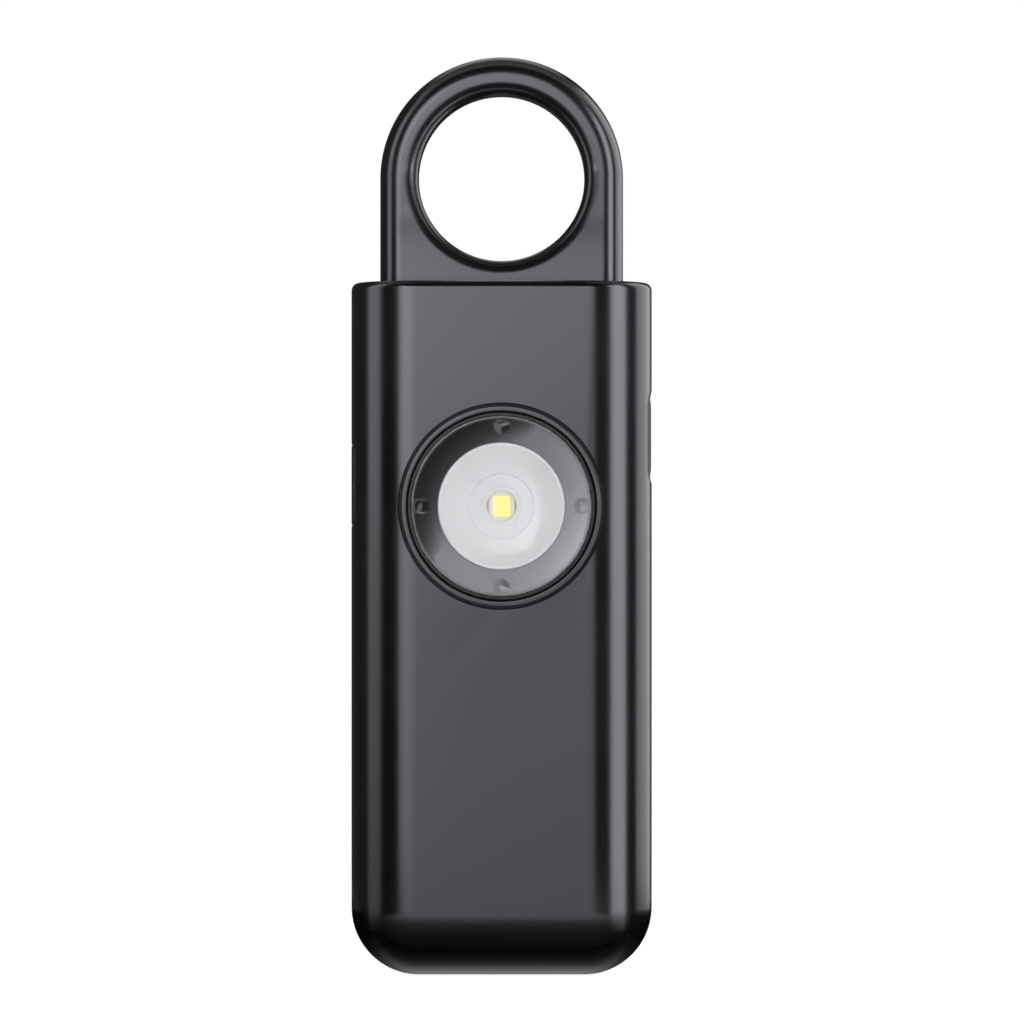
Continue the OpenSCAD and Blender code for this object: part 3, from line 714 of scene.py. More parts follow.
def handle_normal(p):
    """Outward direction of the handle at a point on it, or None off its rounded faces."""
    flat = ring_r - HANDLE_EDGE_W
    h = handle_half_t
    r = HANDLE_EDGE_R
    rise = p.z - ring_z
    from_hole = math.hypot(p.x, rise)
    rim = RING_HOLE_R + RING_RIM_R
    if from_hole < rim - NEAR:
        axis = Vector((p.x, 0, rise)) / from_hole
        side = 0 if abs(p.y) < h - RING_RIM_R else math.copysign(abs(p.y) - h + RING_RIM_R, p.y)
        if abs(math.hypot(rim - from_hole, side) - RING_RIM_R) > ON_RIM:
            return None
        return (axis * (from_hole - rim) + Vector((0, side, 0))).normalized()
    axis = Vector((p.x, 0, max(rise, 0)))
    reach = axis.length
    if reach < flat + NEAR:
        return Vector((0, math.copysign(1, p.y), 0)) if abs(abs(p.y) - h) < 10 * NEAR else None
    axis = axis / reach
    bow_r, bow_x, turn = handle_bow(ring_r, h)
    slope = math.atan2(p.y, reach - bow_x)
    if abs(slope) <= turn:
        return axis * math.cos(slope) + Vector((0, math.sin(slope), 0))
    lift = math.copysign(abs(p.y) - (h - r), p.y)
    return (axis * (reach - flat) + Vector((0, lift, 0))).normalized()


def pull_handle():
    """Ring on two straight legs, with shallow round edges, a round-rimmed hole and a bore for the pin."""
    edge = handle_edge(0)
    path = [((1, 0), handle_foot_z), ((1, 0), ring_z)]
    turns = 96
    for k in range(1, turns):
        a = math.pi * k / turns
        path.append(((math.cos(a), math.sin(a)), ring_z))
    path += [((-1, 0), ring_z), ((-1, 0), handle_foot_z)]
    points = []
    faces = []
    wide = len(edge)
    for (nx, nz), base in path:
        points += [(nx * reach, y, base + nz * reach) for reach, y in edge]
    for i in range(len(path) - 1):
        for k in range(wide - 1):
            a = i * wide + k
            faces.append([a, a + 1, a + 1 + wide, a + wide])
    last = (len(path) - 1) * wide
    faces.append(list(range(wide)) + [last + k for k in reversed(range(wide))])
    rim = RING_HOLE_R + RING_RIM_R
    bend = [(-math.pi / 2 - math.pi / 2 * k / 10) for k in range(11)]
    rim_y = RING_RIM_R - handle_half_t
    hole = [(rim + RING_RIM_R * math.cos(a), rim_y + RING_RIM_R * math.sin(a)) for a in bend]
    hole += [(r, -y) for r, y in reversed(hole)]
    first = len(points)
    round_steps = 144
    for k in range(round_steps):
        a = 2 * math.pi * k / round_steps
        points += [(r * math.cos(a), y, ring_z + r * math.sin(a)) for r, y in hole]
    deep = len(hole)
    for k in range(round_steps):
        n = (k + 1) % round_steps
        for j in range(deep - 1):
            faces.append([first + k * deep + j, first + n * deep + j, first + n * deep + j + 1,
                          first + k * deep + j + 1])
    mesh = bpy.data.meshes.new("ring_handle")
    mesh.from_pydata([Vector(p) * MM for p in points], [], faces)
    work = bmesh.new()
    work.from_mesh(mesh)
    work.verts.ensure_lookup_table()
    for side, rim_side in ((0, 0), (wide - 1, deep - 1)):
        line = [work.verts[i * wide + side] for i in range(len(path))]
        loop = [work.verts[first + k * deep + rim_side] for k in range(round_steps)]
        edges = []
        for ring in (line, loop):
            for a, b in zip(ring, ring[1:] + ring[:1]):
                edges.append(work.edges.get((a, b)) or work.edges.new((a, b)))
        bmesh.ops.triangle_fill(work, edges=edges, use_beauty=True, use_dissolve=False)
    face_outwards(work)
    work.to_mesh(mesh)
    work.free()
    handle = linked("ring_handle", mesh)
    bore = circle_outline(pin_r + SEAT_GAP / 2, 48)(0)
    combine(handle, [raised("bore", bore, (handle_foot_z - PAST, pin_high[2] + SEAT_GAP))], "DIFFERENCE")
    return shade_by(handle, handle_normal)


# Lamp

def sag(r):
    """How far the lens falls back at a radius: level over the dish, then a cone that steepens outwards."""
    share = min(max((r - DISH_R) / (glass_face_r - DISH_R), 0), 1)
    return LENS_DIP * (1 - (1 - LENS_BOW) * share - LENS_BOW * share * share)


def between(start, end, steps):
    """Even steps from start to end, both included."""
    return [start + (end - start) * k / steps for k in range(steps + 1)]


def lamp_bezel():
    """Ring flush with the front, with a flange behind the case's wall."""
    profile = [(BEZEL_IN_R, front_y), (BEZEL_R, front_y), (BEZEL_R, bezel_seat_y),
               (bezel_flange_r, bezel_seat_y), (bezel_flange_r, bezel_back_y), (BEZEL_IN_R, bezel_back_y)]
    return shade(turned("lamp_bezel", eased(profile, BEZEL_EASE)))


def peg_place(turn, u, v, y):
    """Point of a peg or of its hole."""
    return (peg_at_r * math.cos(turn) + u, y, lamp_z + peg_at_r * math.sin(turn) + v)


def peg_tip(turn, gap):
    """Slanted end of a peg, which leads it into its hole."""
    slope = math.tan(math.radians(PEG_SLANT - PEG_SLANT_SWING * math.cos(turn)))
    return lambda u: peg_end_y + gap + slope * (u - PEG_R)


def lamp_lens():
    """Clear cover that falls back towards the dish, with a foot round its rim and four pegs on its back."""
    face = [(r, lens_front_y + sag(r)) for r in between(DISH_R, glass_face_r, 16)]
    edge = []
    for k in range(1, 7):
        turn = math.pi / 2 * k / 6
        edge.append((glass_face_r + LENS_EDGE_R * math.sin(turn),
                     lens_front_y + LENS_EDGE_R * (1 - math.cos(turn))))
    foot_r = glass_face_r - LENS_EDGE_R
    foot = [(glass_r, lens_back_y), (foot_r, lens_back_y)]
    back = [(r, lens_front_y + glass_t + sag(r)) for r in between(foot_r, DISH_R, 16)]
    middle = [(0, lens_back_y), (0, lens_front_y + LENS_DIP)]
    lens = turned("lamp_lens", middle + face + edge + foot + back)
    root_y = lens_front_y + PEG_ROOT * glass_t
    pegs = []
    for a in PEG_TURNS:
        tip = peg_tip(a, 0)
        ring = circle_outline(PEG_R, 48)(0)
        pegs.append(stacked("peg", [[peg_place(a, u, v, root_y) for u, v in ring],
                                    [peg_place(a, u, v, tip(u)) for u, v in ring]]))
    combine(lens, pegs, "UNION")
    return shade(lens, LENS_SHARP)


def lamp_carrier():
    """Dark glossy ring round and behind the lens, with blind holes for its pegs."""
    hole_r = DISH_R + SEAT_GAP
    seat_r = glass_r + SEAT_GAP
    seat_y = lens_back_y + SEAT_GAP
    rim_y = lens_front_y + LENS_EDGE_R
    face = [(r, seat_y + sag(r)) for r in between(hole_r, seat_r, 16)]
    profile = face + [(seat_r, rim_y), (lens_r, rim_y), (lens_r, bezel_back_y),
                      (carrier_flange_r, bezel_back_y), (carrier_flange_r, carrier_back_y),
                      (hole_r, carrier_back_y)]
    carrier = turned("lamp_carrier", eased(profile, CARRIER_EASE))
    holes = []
    for a in PEG_TURNS:
        floor_y = peg_tip(a, SEAT_GAP)
        plain = circle_outline(PEG_R + SEAT_GAP / 2, 48)
        rows = [[peg_place(a, u, v, floor_y(u)) for u, v in plain(0)]]
        for grow, lift in PEG_HOLE_ROWS:
            row = []
            for u, v in plain(grow):
                r = math.hypot(peg_at_r * math.cos(a) + u, peg_at_r * math.sin(a) + v)
                row.append(peg_place(a, u, v, seat_y + lift + sag(r)))
            rows.append(row)
        holes.append(stacked("peg_hole", rows))
    combine(carrier, holes, "DIFFERENCE")
    return shade(carrier, LENS_SHARP)


def lamp_reflector():
    """White bowl that steepens outwards, with two small steps round its open middle."""
    flange_r = dish_high[0]
    floor_top_y = dish_floor_y - DISH_FLOOR_T
    well_r = CHIP_HOLE_R + DISH_WELL_W
    step_y = dish_floor_y - DISH_STEP_RISE
    wall_w = DISH_R - DISH_RIM_W - DISH_STEP_R
    wall_h = step_y - dish_rim_y
    wall = []
    for share in between(0, 1, 14):
        climb = (1 - DISH_BOW) * share + DISH_BOW * share * share
        wall.append((DISH_STEP_R + wall_w * share, step_y - wall_h * climb))
    profile = [(DISH_R, dish_rim_y), (DISH_R, carrier_back_y), (flange_r, carrier_back_y),
               (flange_r, dish_floor_y), (CHIP_HOLE_R - CHIP_HOLE_TAPER, dish_floor_y),
               (CHIP_HOLE_R, floor_top_y), (well_r - DISH_LEDGE, floor_top_y),
               (well_r, floor_top_y - DISH_LEDGE), (DISH_STEP_R - DISH_LEDGE, step_y + DISH_LEDGE_DEPTH)]
    return shade(turned("lamp_reflector", eased(profile + wall, DISH_EASE)), DISH_SHARP)


def chip_outline(half_u, half_v, r):
    """Outline of the lamp chip or of its window."""
    return bar_outline(2 * half_u, 2 * half_v, r, 4, 2)


def lamp_package():
    """Light source: a pale package with a slanted recess round its window."""
    half_u = chip_high[0]
    half_v = (chip_high[2] - chip_low[2]) / 2
    outer = chip_outline(half_u, half_v, CHIP_R)
    inner = chip_outline(window_half_w, window_half_h, CHIP_WINDOW_R)
    place = on_front(lamp_z)
    rows = [[place(u, v, -chip_high[1]) for u, v in outer(0)],
            [place(u, v, -chip_low[1] - CHIP_EDGE) for u, v in outer(0)],
            [place(u, v, -chip_low[1]) for u, v in outer(-CHIP_EDGE)],
            [place(u, v, -chip_low[1]) for u, v in inner(CHIP_WINDOW_SLOPE)],
            [place(u, v, -window_high[1]) for u, v in inner(0)]]
    return shade(stacked("lamp_package", rows))


def lamp_phosphor():
    """Yellow window of the light source, slightly sunk towards its edges."""
    outline = chip_outline(window_half_w, window_half_h, CHIP_WINDOW_R)
    place = on_front(lamp_z)
    deep = window_high[1] - window_low[1]
    rows = [[place(u, v, -window_high[1]) for u, v in outline(0)]]
    for k in range(5):
        share = k / 4
        rise = CHIP_WINDOW_SINK + (1 - CHIP_WINDOW_SINK) * math.sin(share * math.pi / 2)
        ring = outline(-CHIP_WINDOW_FALL_W * share)
        rows.append([place(u, v, -window_high[1] + deep * rise) for u, v in ring])
    return shade(stacked("lamp_phosphor", rows))


# Side controls and screws

def side_button():
    """Button whose face follows the case and falls away at both ends."""
    def face_height(u, v):
        past_end = max(abs(v) - button_l / 2 + BUTTON_END_L, 0) / BUTTON_END_L
        return case_reach(side_y + u) - BUTTON_SINK - BUTTON_END_FALL * past_end ** 2

    face = faced_bar("button_cap", bar_outline(button_w, button_l, BUTTON_R), face_height, button_back_x,
                     BUTTON_EASE, on_right(button_z), button_w / 2 - FACE_STOP)
    half = button_l / 2 + EAR_L
    ears = block("ears", (button_back_x, side_y - EAR_W / 2, button_z - half),
                 (button_back_x + EAR_T, side_y + EAR_W / 2, button_z + half))
    combine(face, [ears], "UNION")
    return shade(face)


def port_plug():
    """Soft plug with a nail notch in front and a slope behind its upper edge."""
    face = faced_bar("plug_cap", bar_outline(plug_w, plug_l, PLUG_R), lambda u, v: case_reach(side_y - u),
                     -plug_back_x, PLUG_EASE, on_left(plug_z), plug_w / 2 - FACE_STOP)
    half = NAIL_GROOVE / 2
    ahead_y = side_y - plug_w
    notch_y = -flat_y - half
    rows = []
    for sink, grow in ((NAIL_GROOVE, 0), (NAIL_FLARE, 0), (-NAIL_FLARE, 2 * NAIL_FLARE)):
        x = plug_low[0] + sink
        low_z = plug_z - half - grow
        high_z = plug_z + half + grow
        end_y = notch_y + grow
        rows.append([(x, ahead_y, low_z), (x, end_y, low_z), (x, end_y, high_z), (x, ahead_y, high_z)])
    groove = stacked("groove", rows)
    top = plug_z + plug_l / 2
    behind_x = plug_back_x + PAST
    corner = [(behind_x, top + PAST), (behind_x, top - PLUG_CHAMFER - PAST),
              (plug_back_x - PLUG_CHAMFER - PAST, top + PAST)]
    slope = driven("slope", corner, (ahead_y, side_y + plug_w))
    combine(face, [groove, slope], "DIFFERENCE")
    return shade(face)


def screw_set():
    """Four screws with domed heads, cross recesses and threads, joined as one piece."""
    profile = [(0, screw_tip_y)]
    y = screw_tip_y + SCREW_TIP_L
    profile.append((SCREW_R - 2 * THREAD_DEPTH, y))
    while y + THREAD_PITCH < screw_seat_y - SCREW_TIP_L:
        profile += [(SCREW_R, y + THREAD_PITCH / 2), (SCREW_R - THREAD_DEPTH, y + THREAD_PITCH)]
        y += THREAD_PITCH
    dome_y = screw_top_y - SCREW_DOME_H
    profile += [(SCREW_R, screw_seat_y), (SCREW_HEAD_R, screw_seat_y), (SCREW_HEAD_R, dome_y)]
    for k in range(1, 9):
        a = math.pi / 2 * k / 8
        profile.append((SCREW_HEAD_R - SCREW_DOME_W * (1 - math.cos(a)), dome_y + SCREW_DOME_H * math.sin(a)))
    profile.append((0, screw_top_y))
    middle = Vector((0, screw_top_y, lamp_z))
    meshes = bmesh.new()
    for x, z in screw_places():
        screw = turned("screw", profile, 48)
        for a in (CROSS_TURN, CROSS_TURN + math.pi / 2):
            along = Vector((math.cos(a), 0, math.sin(a)))
            across = Vector((-math.sin(a), 0, math.cos(a)))
            rows = []
            for lift, l, w in CROSS_ROWS:
                rows.append([middle + Vector((0, lift, 0)) + along * l * i + across * w * j
                             for i, j in ((-1, -1), (1, -1), (1, 1), (-1, 1))])
            combine(screw, [stacked("recess", rows)], "DIFFERENCE")
        for vert in screw.data.vertices:
            vert.co += Vector((x, 0, z - lamp_z)) * MM
        meshes.from_mesh(screw.data)
        bpy.data.objects.remove(screw)
    mesh = bpy.data.meshes.new("screw_set")
    meshes.to_mesh(mesh)
    meshes.free()
    return shade(linked("screw_set", mesh))


# Node tools

def feed(tree, socket, value):
    """Links an input to an output, or sets it to a constant."""
    if isinstance(value, bpy.types.NodeSocket):
        tree.links.new(value, socket)
    else:
        socket.default_value = value


def feed_node(tree, node, values):
    """Feeds the named inputs of a node. An underscore in a name stands for a space."""
    for label, value in values.items():
        feed(tree, node.inputs[label.replace("_", " ")], value)
    return node


def add_node(tree, kind, **values):
    """New node with its inputs fed."""
    return feed_node(tree, tree.nodes.new(kind), values)


def add_math(tree, operation, first, second, clamp=False):
    """Result of a sum on two values."""
    node = tree.nodes.new("ShaderNodeMath")
    node.operation = operation
    node.use_clamp = clamp
    feed(tree, node.inputs[0], first)
    feed(tree, node.inputs[1], second)
    return node.outputs["Value"]


def add_mix(tree, factor, first, second):
    """Colour between two others."""
    node = tree.nodes.new("ShaderNodeMix")
    node.data_type = "RGBA"
    return feed_node(tree, node, {"Factor": factor, "A": first, "B": second}).outputs["Result"]


def object_spot(tree):
    """Place on the object, in its own metres."""
    return add_node(tree, "ShaderNodeTexCoord").outputs["Object"]


# Shader groups

def shader_group(name, inputs, outputs):
    """Node group with its named inputs and outputs made."""
    group = bpy.data.node_groups.new(name, "ShaderNodeTree")
    for label, value in inputs.items():
        socket = group.interface.new_socket(name=label, in_out="INPUT", socket_type="NodeSocketFloat")
        socket.default_value = value
    for label in outputs:
        group.interface.new_socket(name=label, in_out="OUTPUT", socket_type="NodeSocketFloat")
    return group, group.nodes.new("NodeGroupInput").outputs, group.nodes.new("NodeGroupOutput")


def make_grain_group():
    """Fine moulded grain: a height for bump and a broad mask for colour and gloss."""
    group, given, leave = shader_group("moulded_grain", {"Scale": 5000.0, "Broad": 120.0}, ["Height", "Mask"])
    spot = object_spot(group)
    fine = add_node(group, "ShaderNodeTexNoise", Vector=spot, Scale=given["Scale"], Detail=3)
    broad = add_node(group, "ShaderNodeTexNoise", Vector=spot, Scale=given["Broad"], Detail=5, Roughness=0.6)
    feed_node(group, leave, {"Height": fine.outputs["Fac"], "Mask": broad.outputs["Fac"]})
    return group


def make_range_group():
    """Turns a mask into a value between two limits."""
    group, given, leave = shader_group("uneven_value", {"Mask": 0.5, "Low": 0.2, "High": 0.3}, ["Value"])
    span = add_node(group, "ShaderNodeMapRange", Value=given["Mask"], From_Min=0.3, From_Max=0.7,
                    To_Min=given["Low"], To_Max=given["High"])
    feed_node(group, leave, {"Value": span.outputs["Result"]})
    return group


def make_rub_group():
    """Mask of the edges that hands and pockets rub."""
    group, given, leave = shader_group("edge_rub", {"Radius": 0.0002, "Amount": 1.0}, ["Mask"])
    soft = add_node(group, "ShaderNodeBevel", Radius=given["Radius"])
    soft.samples = 4
    true = add_node(group, "ShaderNodeNewGeometry")
    dot = group.nodes.new("ShaderNodeVectorMath")
    dot.operation = "DOT_PRODUCT"
    feed(group, dot.inputs[0], soft.outputs["Normal"])
    feed(group, dot.inputs[1], true.outputs["Normal"])
    span = add_node(group, "ShaderNodeMapRange", Value=dot.outputs["Value"], From_Min=0.98, From_Max=0.75)
    rubbed = add_math(group, "MULTIPLY", span.outputs["Result"], given["Amount"])
    feed_node(group, leave, {"Mask": rubbed})
    return group


def make_cell_group():
    """Cells for foam and ceramic: a height, and a mask that differs from cell to cell."""
    group, given, leave = shader_group("cells", {"Scale": 3000.0}, ["Height", "Mask"])
    cell = add_node(group, "ShaderNodeTexVoronoi", Vector=object_spot(group), Scale=given["Scale"])
    split = add_node(group, "ShaderNodeSeparateColor", Color=cell.outputs["Color"])
    feed_node(group, leave, {"Height": cell.outputs["Distance"], "Mask": split.outputs["Red"]})
    return group


def make_weave_group():
    """Plain weave of threads along X and Z."""
    group, given, leave = shader_group("plain_weave", {"Scale": 900.0}, ["Height"])
    spot = object_spot(group)
    threads = []
    for axis in ("X", "Z"):
        wave = add_node(group, "ShaderNodeTexWave", Vector=spot, Scale=given["Scale"])
        wave.bands_direction = axis
        threads.append(wave.outputs["Fac"])
    feed_node(group, leave, {"Height": add_math(group, "MAXIMUM", *threads)})
    return group


GRAIN = make_grain_group()
UNEVEN = make_range_group()
RUB = make_rub_group()
CELLS = make_cell_group()
WEAVE = make_weave_group()


# Materials

RUB_RADIUS = 0.00018
FINE_DEPTH = 0.00002


def place_group(tree, group, **values):
    """Node that uses a shared group, with its inputs fed."""
    node = tree.nodes.new("ShaderNodeGroup")
    node.node_tree = group
    return feed_node(tree, node, values)


def finish(name, colours, rough, grain, bump, depth=FINE_DEPTH, rub=None, pattern=None, **sockets):
    """Procedural finish: two colours and a roughness that drift, fine bump, and rubbed edges where asked.

    The grain is its fine and its broad scale, the rub is its amount and colour, and the pattern is a
    group with its scale.
    """
    made = bpy.data.materials.new(name)
    made.use_nodes = True
    tree = made.node_tree
    shader = tree.nodes["Principled BSDF"]
    grains = place_group(tree, GRAIN, Scale=grain[0], Broad=grain[1])
    gloss = place_group(tree, UNEVEN, Mask=grains.outputs["Mask"], Low=rough[0], High=rough[1])
    mask = grains.outputs["Mask"]
    height = grains.outputs["Height"]
    if pattern:
        form = place_group(tree, pattern[0], Scale=pattern[1])
        height = form.outputs["Height"]
        mask = form.outputs.get("Mask") or mask
    drift = place_group(tree, UNEVEN, Mask=mask, Low=0.0, High=1.0)
    colour = add_mix(tree, drift.outputs["Value"], (*colours[0], 1), (*colours[1], 1))
    if rub:
        edges = place_group(tree, RUB, Radius=RUB_RADIUS, Amount=rub[0])
        colour = add_mix(tree, edges.outputs["Mask"], colour, (*rub[1], 1))
    feed(tree, shader.inputs["Base Color"], colour)
    feed(tree, shader.inputs["Roughness"], gloss.outputs["Value"])
    if bump:
        relief = add_node(tree, "ShaderNodeBump", Strength=bump, Distance=depth, Height=height)
        feed(tree, shader.inputs["Normal"], relief.outputs["Normal"])
    feed_node(tree, shader, sockets)
    return made


COOL = (0.94, 0.96, 1.04, 1)
BLACK_PLASTIC = ((0.0018, 0.0018, 0.002), (0.0026, 0.0026, 0.0028))
WORN_PLASTIC = (0.4, (0.009, 0.009, 0.0095))
CASE = finish("case_plastic", BLACK_PLASTIC, rough=(0.19, 0.23), grain=(4200, 90), bump=0.05,
              rub=WORN_PLASTIC, Specular_IOR_Level=0.8, Specular_Tint=COOL)
HANDLE = finish("handle_plastic", BLACK_PLASTIC, rough=(0.24, 0.28), grain=(4200, 110), bump=0.05,
                rub=WORN_PLASTIC, Specular_IOR_Level=0.88, Specular_Tint=COOL)
BUTTON = finish("button_plastic", ((0.0022, 0.0022, 0.0024), (0.0032, 0.0032, 0.0034)), rough=(0.42, 0.5),
                grain=(5200, 160), bump=0.06, rub=(0.4, (0.01, 0.01, 0.0105)),
                Specular_IOR_Level=0.35, Specular_Tint=COOL)
BEZEL = finish("bezel_plastic", BLACK_PLASTIC, rough=(0.16, 0.2), grain=(5200, 140), bump=0.03,
               rub=WORN_PLASTIC, Specular_IOR_Level=0.8, Specular_Tint=COOL)
LENS = finish("clear_lens", ((0.965, 0.97, 0.98), (0.98, 0.982, 0.988)), rough=(0.0, 0.012),
              grain=(900, 60), bump=0, IOR=1.59, Transmission_Weight=1.0, Specular_Tint=COOL)
CARRIER = finish("carrier_gloss", ((0.006, 0.006, 0.006), (0.009, 0.009, 0.009)), rough=(0.03, 0.06),
                 grain=(2600, 200), bump=0.02, Specular_IOR_Level=0.3)
DISH = finish("reflector_white", ((0.8, 0.805, 0.815), (0.83, 0.835, 0.845)), rough=(0.26, 0.34),
              grain=(5200, 240), bump=0.04, Coat_Weight=1.0, Coat_Roughness=0.16)
PACKAGE = finish("led_body", ((0.88, 0.87, 0.82), (0.92, 0.91, 0.86)), rough=(0.4, 0.5),
                 grain=(9000, 400), bump=0.05)
# The faint yellow emission is a painted glow that brightens the phosphor window in place of light falling on
# it
PHOSPHOR_PAINTED_GLOW = finish("led_phosphor", ((0.97, 0.87, 0.2), (0.99, 0.9, 0.26)), rough=(0.35, 0.5),
                  grain=(12000, 900), bump=0.08, pattern=(CELLS, 16000.0),
                  Emission_Color=(0.97, 0.85, 0.04, 1), Emission_Strength=0.3)
BOARD = finish("board_white", ((0.62, 0.63, 0.6), (0.68, 0.69, 0.66)), rough=(0.3, 0.42),
               grain=(3000, 500), bump=0.1, depth=0.00003, pattern=(WEAVE, 420.0))
CHIPS = finish("component_plastic", ((0.012, 0.012, 0.013), (0.02, 0.02, 0.021)), rough=(0.45, 0.6),
               grain=(9000, 500), bump=0.12)
CAPS = finish("capacitor_tan", ((0.36, 0.24, 0.12), (0.43, 0.3, 0.16)), rough=(0.35, 0.5),
              grain=(8000, 900), bump=0.08)
PLUNGER = finish("plunger_grey", ((0.5, 0.5, 0.5), (0.57, 0.57, 0.57)), rough=(0.4, 0.5),
                 grain=(6000, 400), bump=0.06)
PLATED = finish("plated_metal", ((0.62, 0.62, 0.61), (0.7, 0.7, 0.69)), rough=(0.18, 0.3),
                grain=(2600, 300), bump=0.04, Metallic=1.0)
STEEL = finish("screw_steel", ((0.13, 0.13, 0.135), (0.2, 0.2, 0.205)), rough=(0.28, 0.42),
               grain=(3600, 500), bump=0.08, Metallic=1.0)
BRONZE = finish("spring_bronze", ((0.6, 0.4, 0.18), (0.68, 0.46, 0.22)), rough=(0.22, 0.34),
                grain=(3600, 500), bump=0.05, Metallic=1.0)
RUBBER = finish("plug_rubber", ((0.011, 0.011, 0.012), (0.016, 0.016, 0.017)), rough=(0.42, 0.52),
                grain=(7000, 220), bump=0.12, rub=(0.5, (0.03, 0.03, 0.031)))
FOIL = finish("battery_foil", ((0.52, 0.53, 0.55), (0.62, 0.63, 0.65)), rough=(0.3, 0.48),
              grain=(260, 90), bump=0.25, depth=0.0001, Metallic=0.85)
FOAM = finish("foam_black", ((0.012, 0.012, 0.012), (0.03, 0.03, 0.03)), rough=(0.85, 0.95),
              grain=(3000, 300), bump=0.7, depth=0.0001, pattern=(CELLS, 4200.0))
RED = finish("lead_red", ((0.42, 0.02, 0.015), (0.5, 0.03, 0.02)), rough=(0.34, 0.44),
             grain=(5000, 300), bump=0.06)
BLACK = finish("lead_black", ((0.012, 0.012, 0.012), (0.02, 0.02, 0.02)), rough=(0.34, 0.44),
               grain=(5000, 300), bump=0.06)
BRASS = finish("siren_brass", ((0.62, 0.43, 0.14), (0.7, 0.5, 0.19)), rough=(0.24, 0.36),
               grain=(1400, 200), bump=0.06, Metallic=1.0)
CERAMIC = finish("siren_ceramic", ((0.7, 0.69, 0.64), (0.78, 0.77, 0.72)), rough=(0.45, 0.6),
                 grain=(5000, 400), bump=0.1, pattern=(CELLS, 9000.0))
CLOTH = finish("mesh_cloth", ((0.008, 0.008, 0.009), (0.02, 0.02, 0.021)), rough=(0.7, 0.85),
               grain=(5000, 500), bump=0.8, depth=0.00006, pattern=(WEAVE, 900.0))


def dress(piece, material, body, slot, *nodes):
    """Gives a new piece its finish, the body that it rides on and the nodes that it stands for."""
    piece.data.materials.clear()
    piece.data.materials.append(material)
    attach(piece, body)
    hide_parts(*nodes)


dress(front_shell(), CASE, "housing", "case_plastic", "front_shell")
dress(rear_cover(), CASE, "housing", "case_plastic", "rear_cover")
dress(pull_handle(), HANDLE, "handle", "handle_plastic", "pull_handle")
dress(lamp_bezel(), BEZEL, "housing", "bezel_plastic", "lens_bezel")
dress(lamp_lens(), LENS, "housing", "clear_lens", "light_lens")
dress(lamp_carrier(), CARRIER, "housing", "carrier_gloss", "lens_carrier")
dress(lamp_reflector(), DISH, "housing", "reflector_white", "reflector")
dress(lamp_package(), PACKAGE, "housing", "led_body", "led_package")
dress(lamp_phosphor(), PHOSPHOR_PAINTED_GLOW, "housing", "led_phosphor", "led_phosphor")
dress(side_button(), BUTTON, "button", "button_plastic", "side_button")
dress(port_plug(), RUBBER, "plug", "plug_rubber", "port_plug")
dress(screw_set(), STEEL, "housing", "screw_steel", "cover_screws")

NODE_FINISHES = {
    "handle_pin": PLATED, "jack_socket": CHIPS, "contact_spring_left": BRONZE, "contact_spring_right": BRONZE,
    "main_board": BOARD, "control_chip": CHIPS, "charge_chip": CHIPS, "boost_inductor": CHIPS,
    "board_capacitors": CAPS, "button_switch": CHIPS, "switch_plunger": PLUNGER, "charge_socket": PLATED,
    "socket_tongue": CHIPS, "battery_cell": FOIL, "battery_pad": FOAM, "battery_lead_red": RED,
    "battery_lead_black": BLACK, "siren_disc": BRASS, "siren_ceramic": CERAMIC, "siren_ring": RUBBER,
    "siren_lead_red": RED, "siren_lead_black": BLACK, "dust_mesh": CLOTH}
for node, material in NODE_FINISHES.items():
    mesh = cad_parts[node].data
    mesh.materials.clear()
    mesh.materials.append(material)


# Studio

BACKGROUND_RAYS = ("Is Camera Ray", "Is Glossy Ray", "Is Transmission Ray")
FLOOR_HALF_W = 3000
FLOOR_PAINT = (0.8, 0.8, 0.8, 1)
FLOOR_SEEN = (0.5, 0.5, 0.5, 1)
FLOOR_GLOW = 0.93
AIR_GLOW = 0.15
FLAG_BLACK = (0.002, 0.002, 0.002, 1)


def background_rays(tree):
    """Value that is one for rays of the camera, mirrors and clear pieces, and nought for the others."""
    path = add_node(tree, "ShaderNodeLightPath")
    seen = path.outputs[BACKGROUND_RAYS[0]]
    for label in BACKGROUND_RAYS[1:]:
        seen = add_math(tree, "ADD", seen, path.outputs[label], clamp=True)
    return seen


def bare_material(name):
    """New material without nodes, and its tree."""
    made = bpy.data.materials.new(name)
    made.use_nodes = True
    made.node_tree.nodes.clear()
    return made, made.node_tree


def floor_material():
    """Pale floor that shows white and still takes the object's soft shadow."""
    made, tree = bare_material("studio_floor")
    paint = add_node(tree, "ShaderNodeBsdfDiffuse", Color=FLOOR_PAINT)
    pale = add_node(tree, "ShaderNodeBsdfDiffuse", Color=FLOOR_SEEN)
    glow = add_node(tree, "ShaderNodeEmission", Strength=FLOOR_GLOW)
    both = add_node(tree, "ShaderNodeAddShader")
    feed(tree, both.inputs[0], pale.outputs["BSDF"])
    feed(tree, both.inputs[1], glow.outputs["Emission"])
    pick = add_node(tree, "ShaderNodeMixShader", Fac=background_rays(tree))
    feed(tree, pick.inputs[1], paint.outputs["BSDF"])
    feed(tree, pick.inputs[2], both.outputs["Shader"])
    add_node(tree, "ShaderNodeOutputMaterial", Surface=pick.outputs["Shader"])
    return made


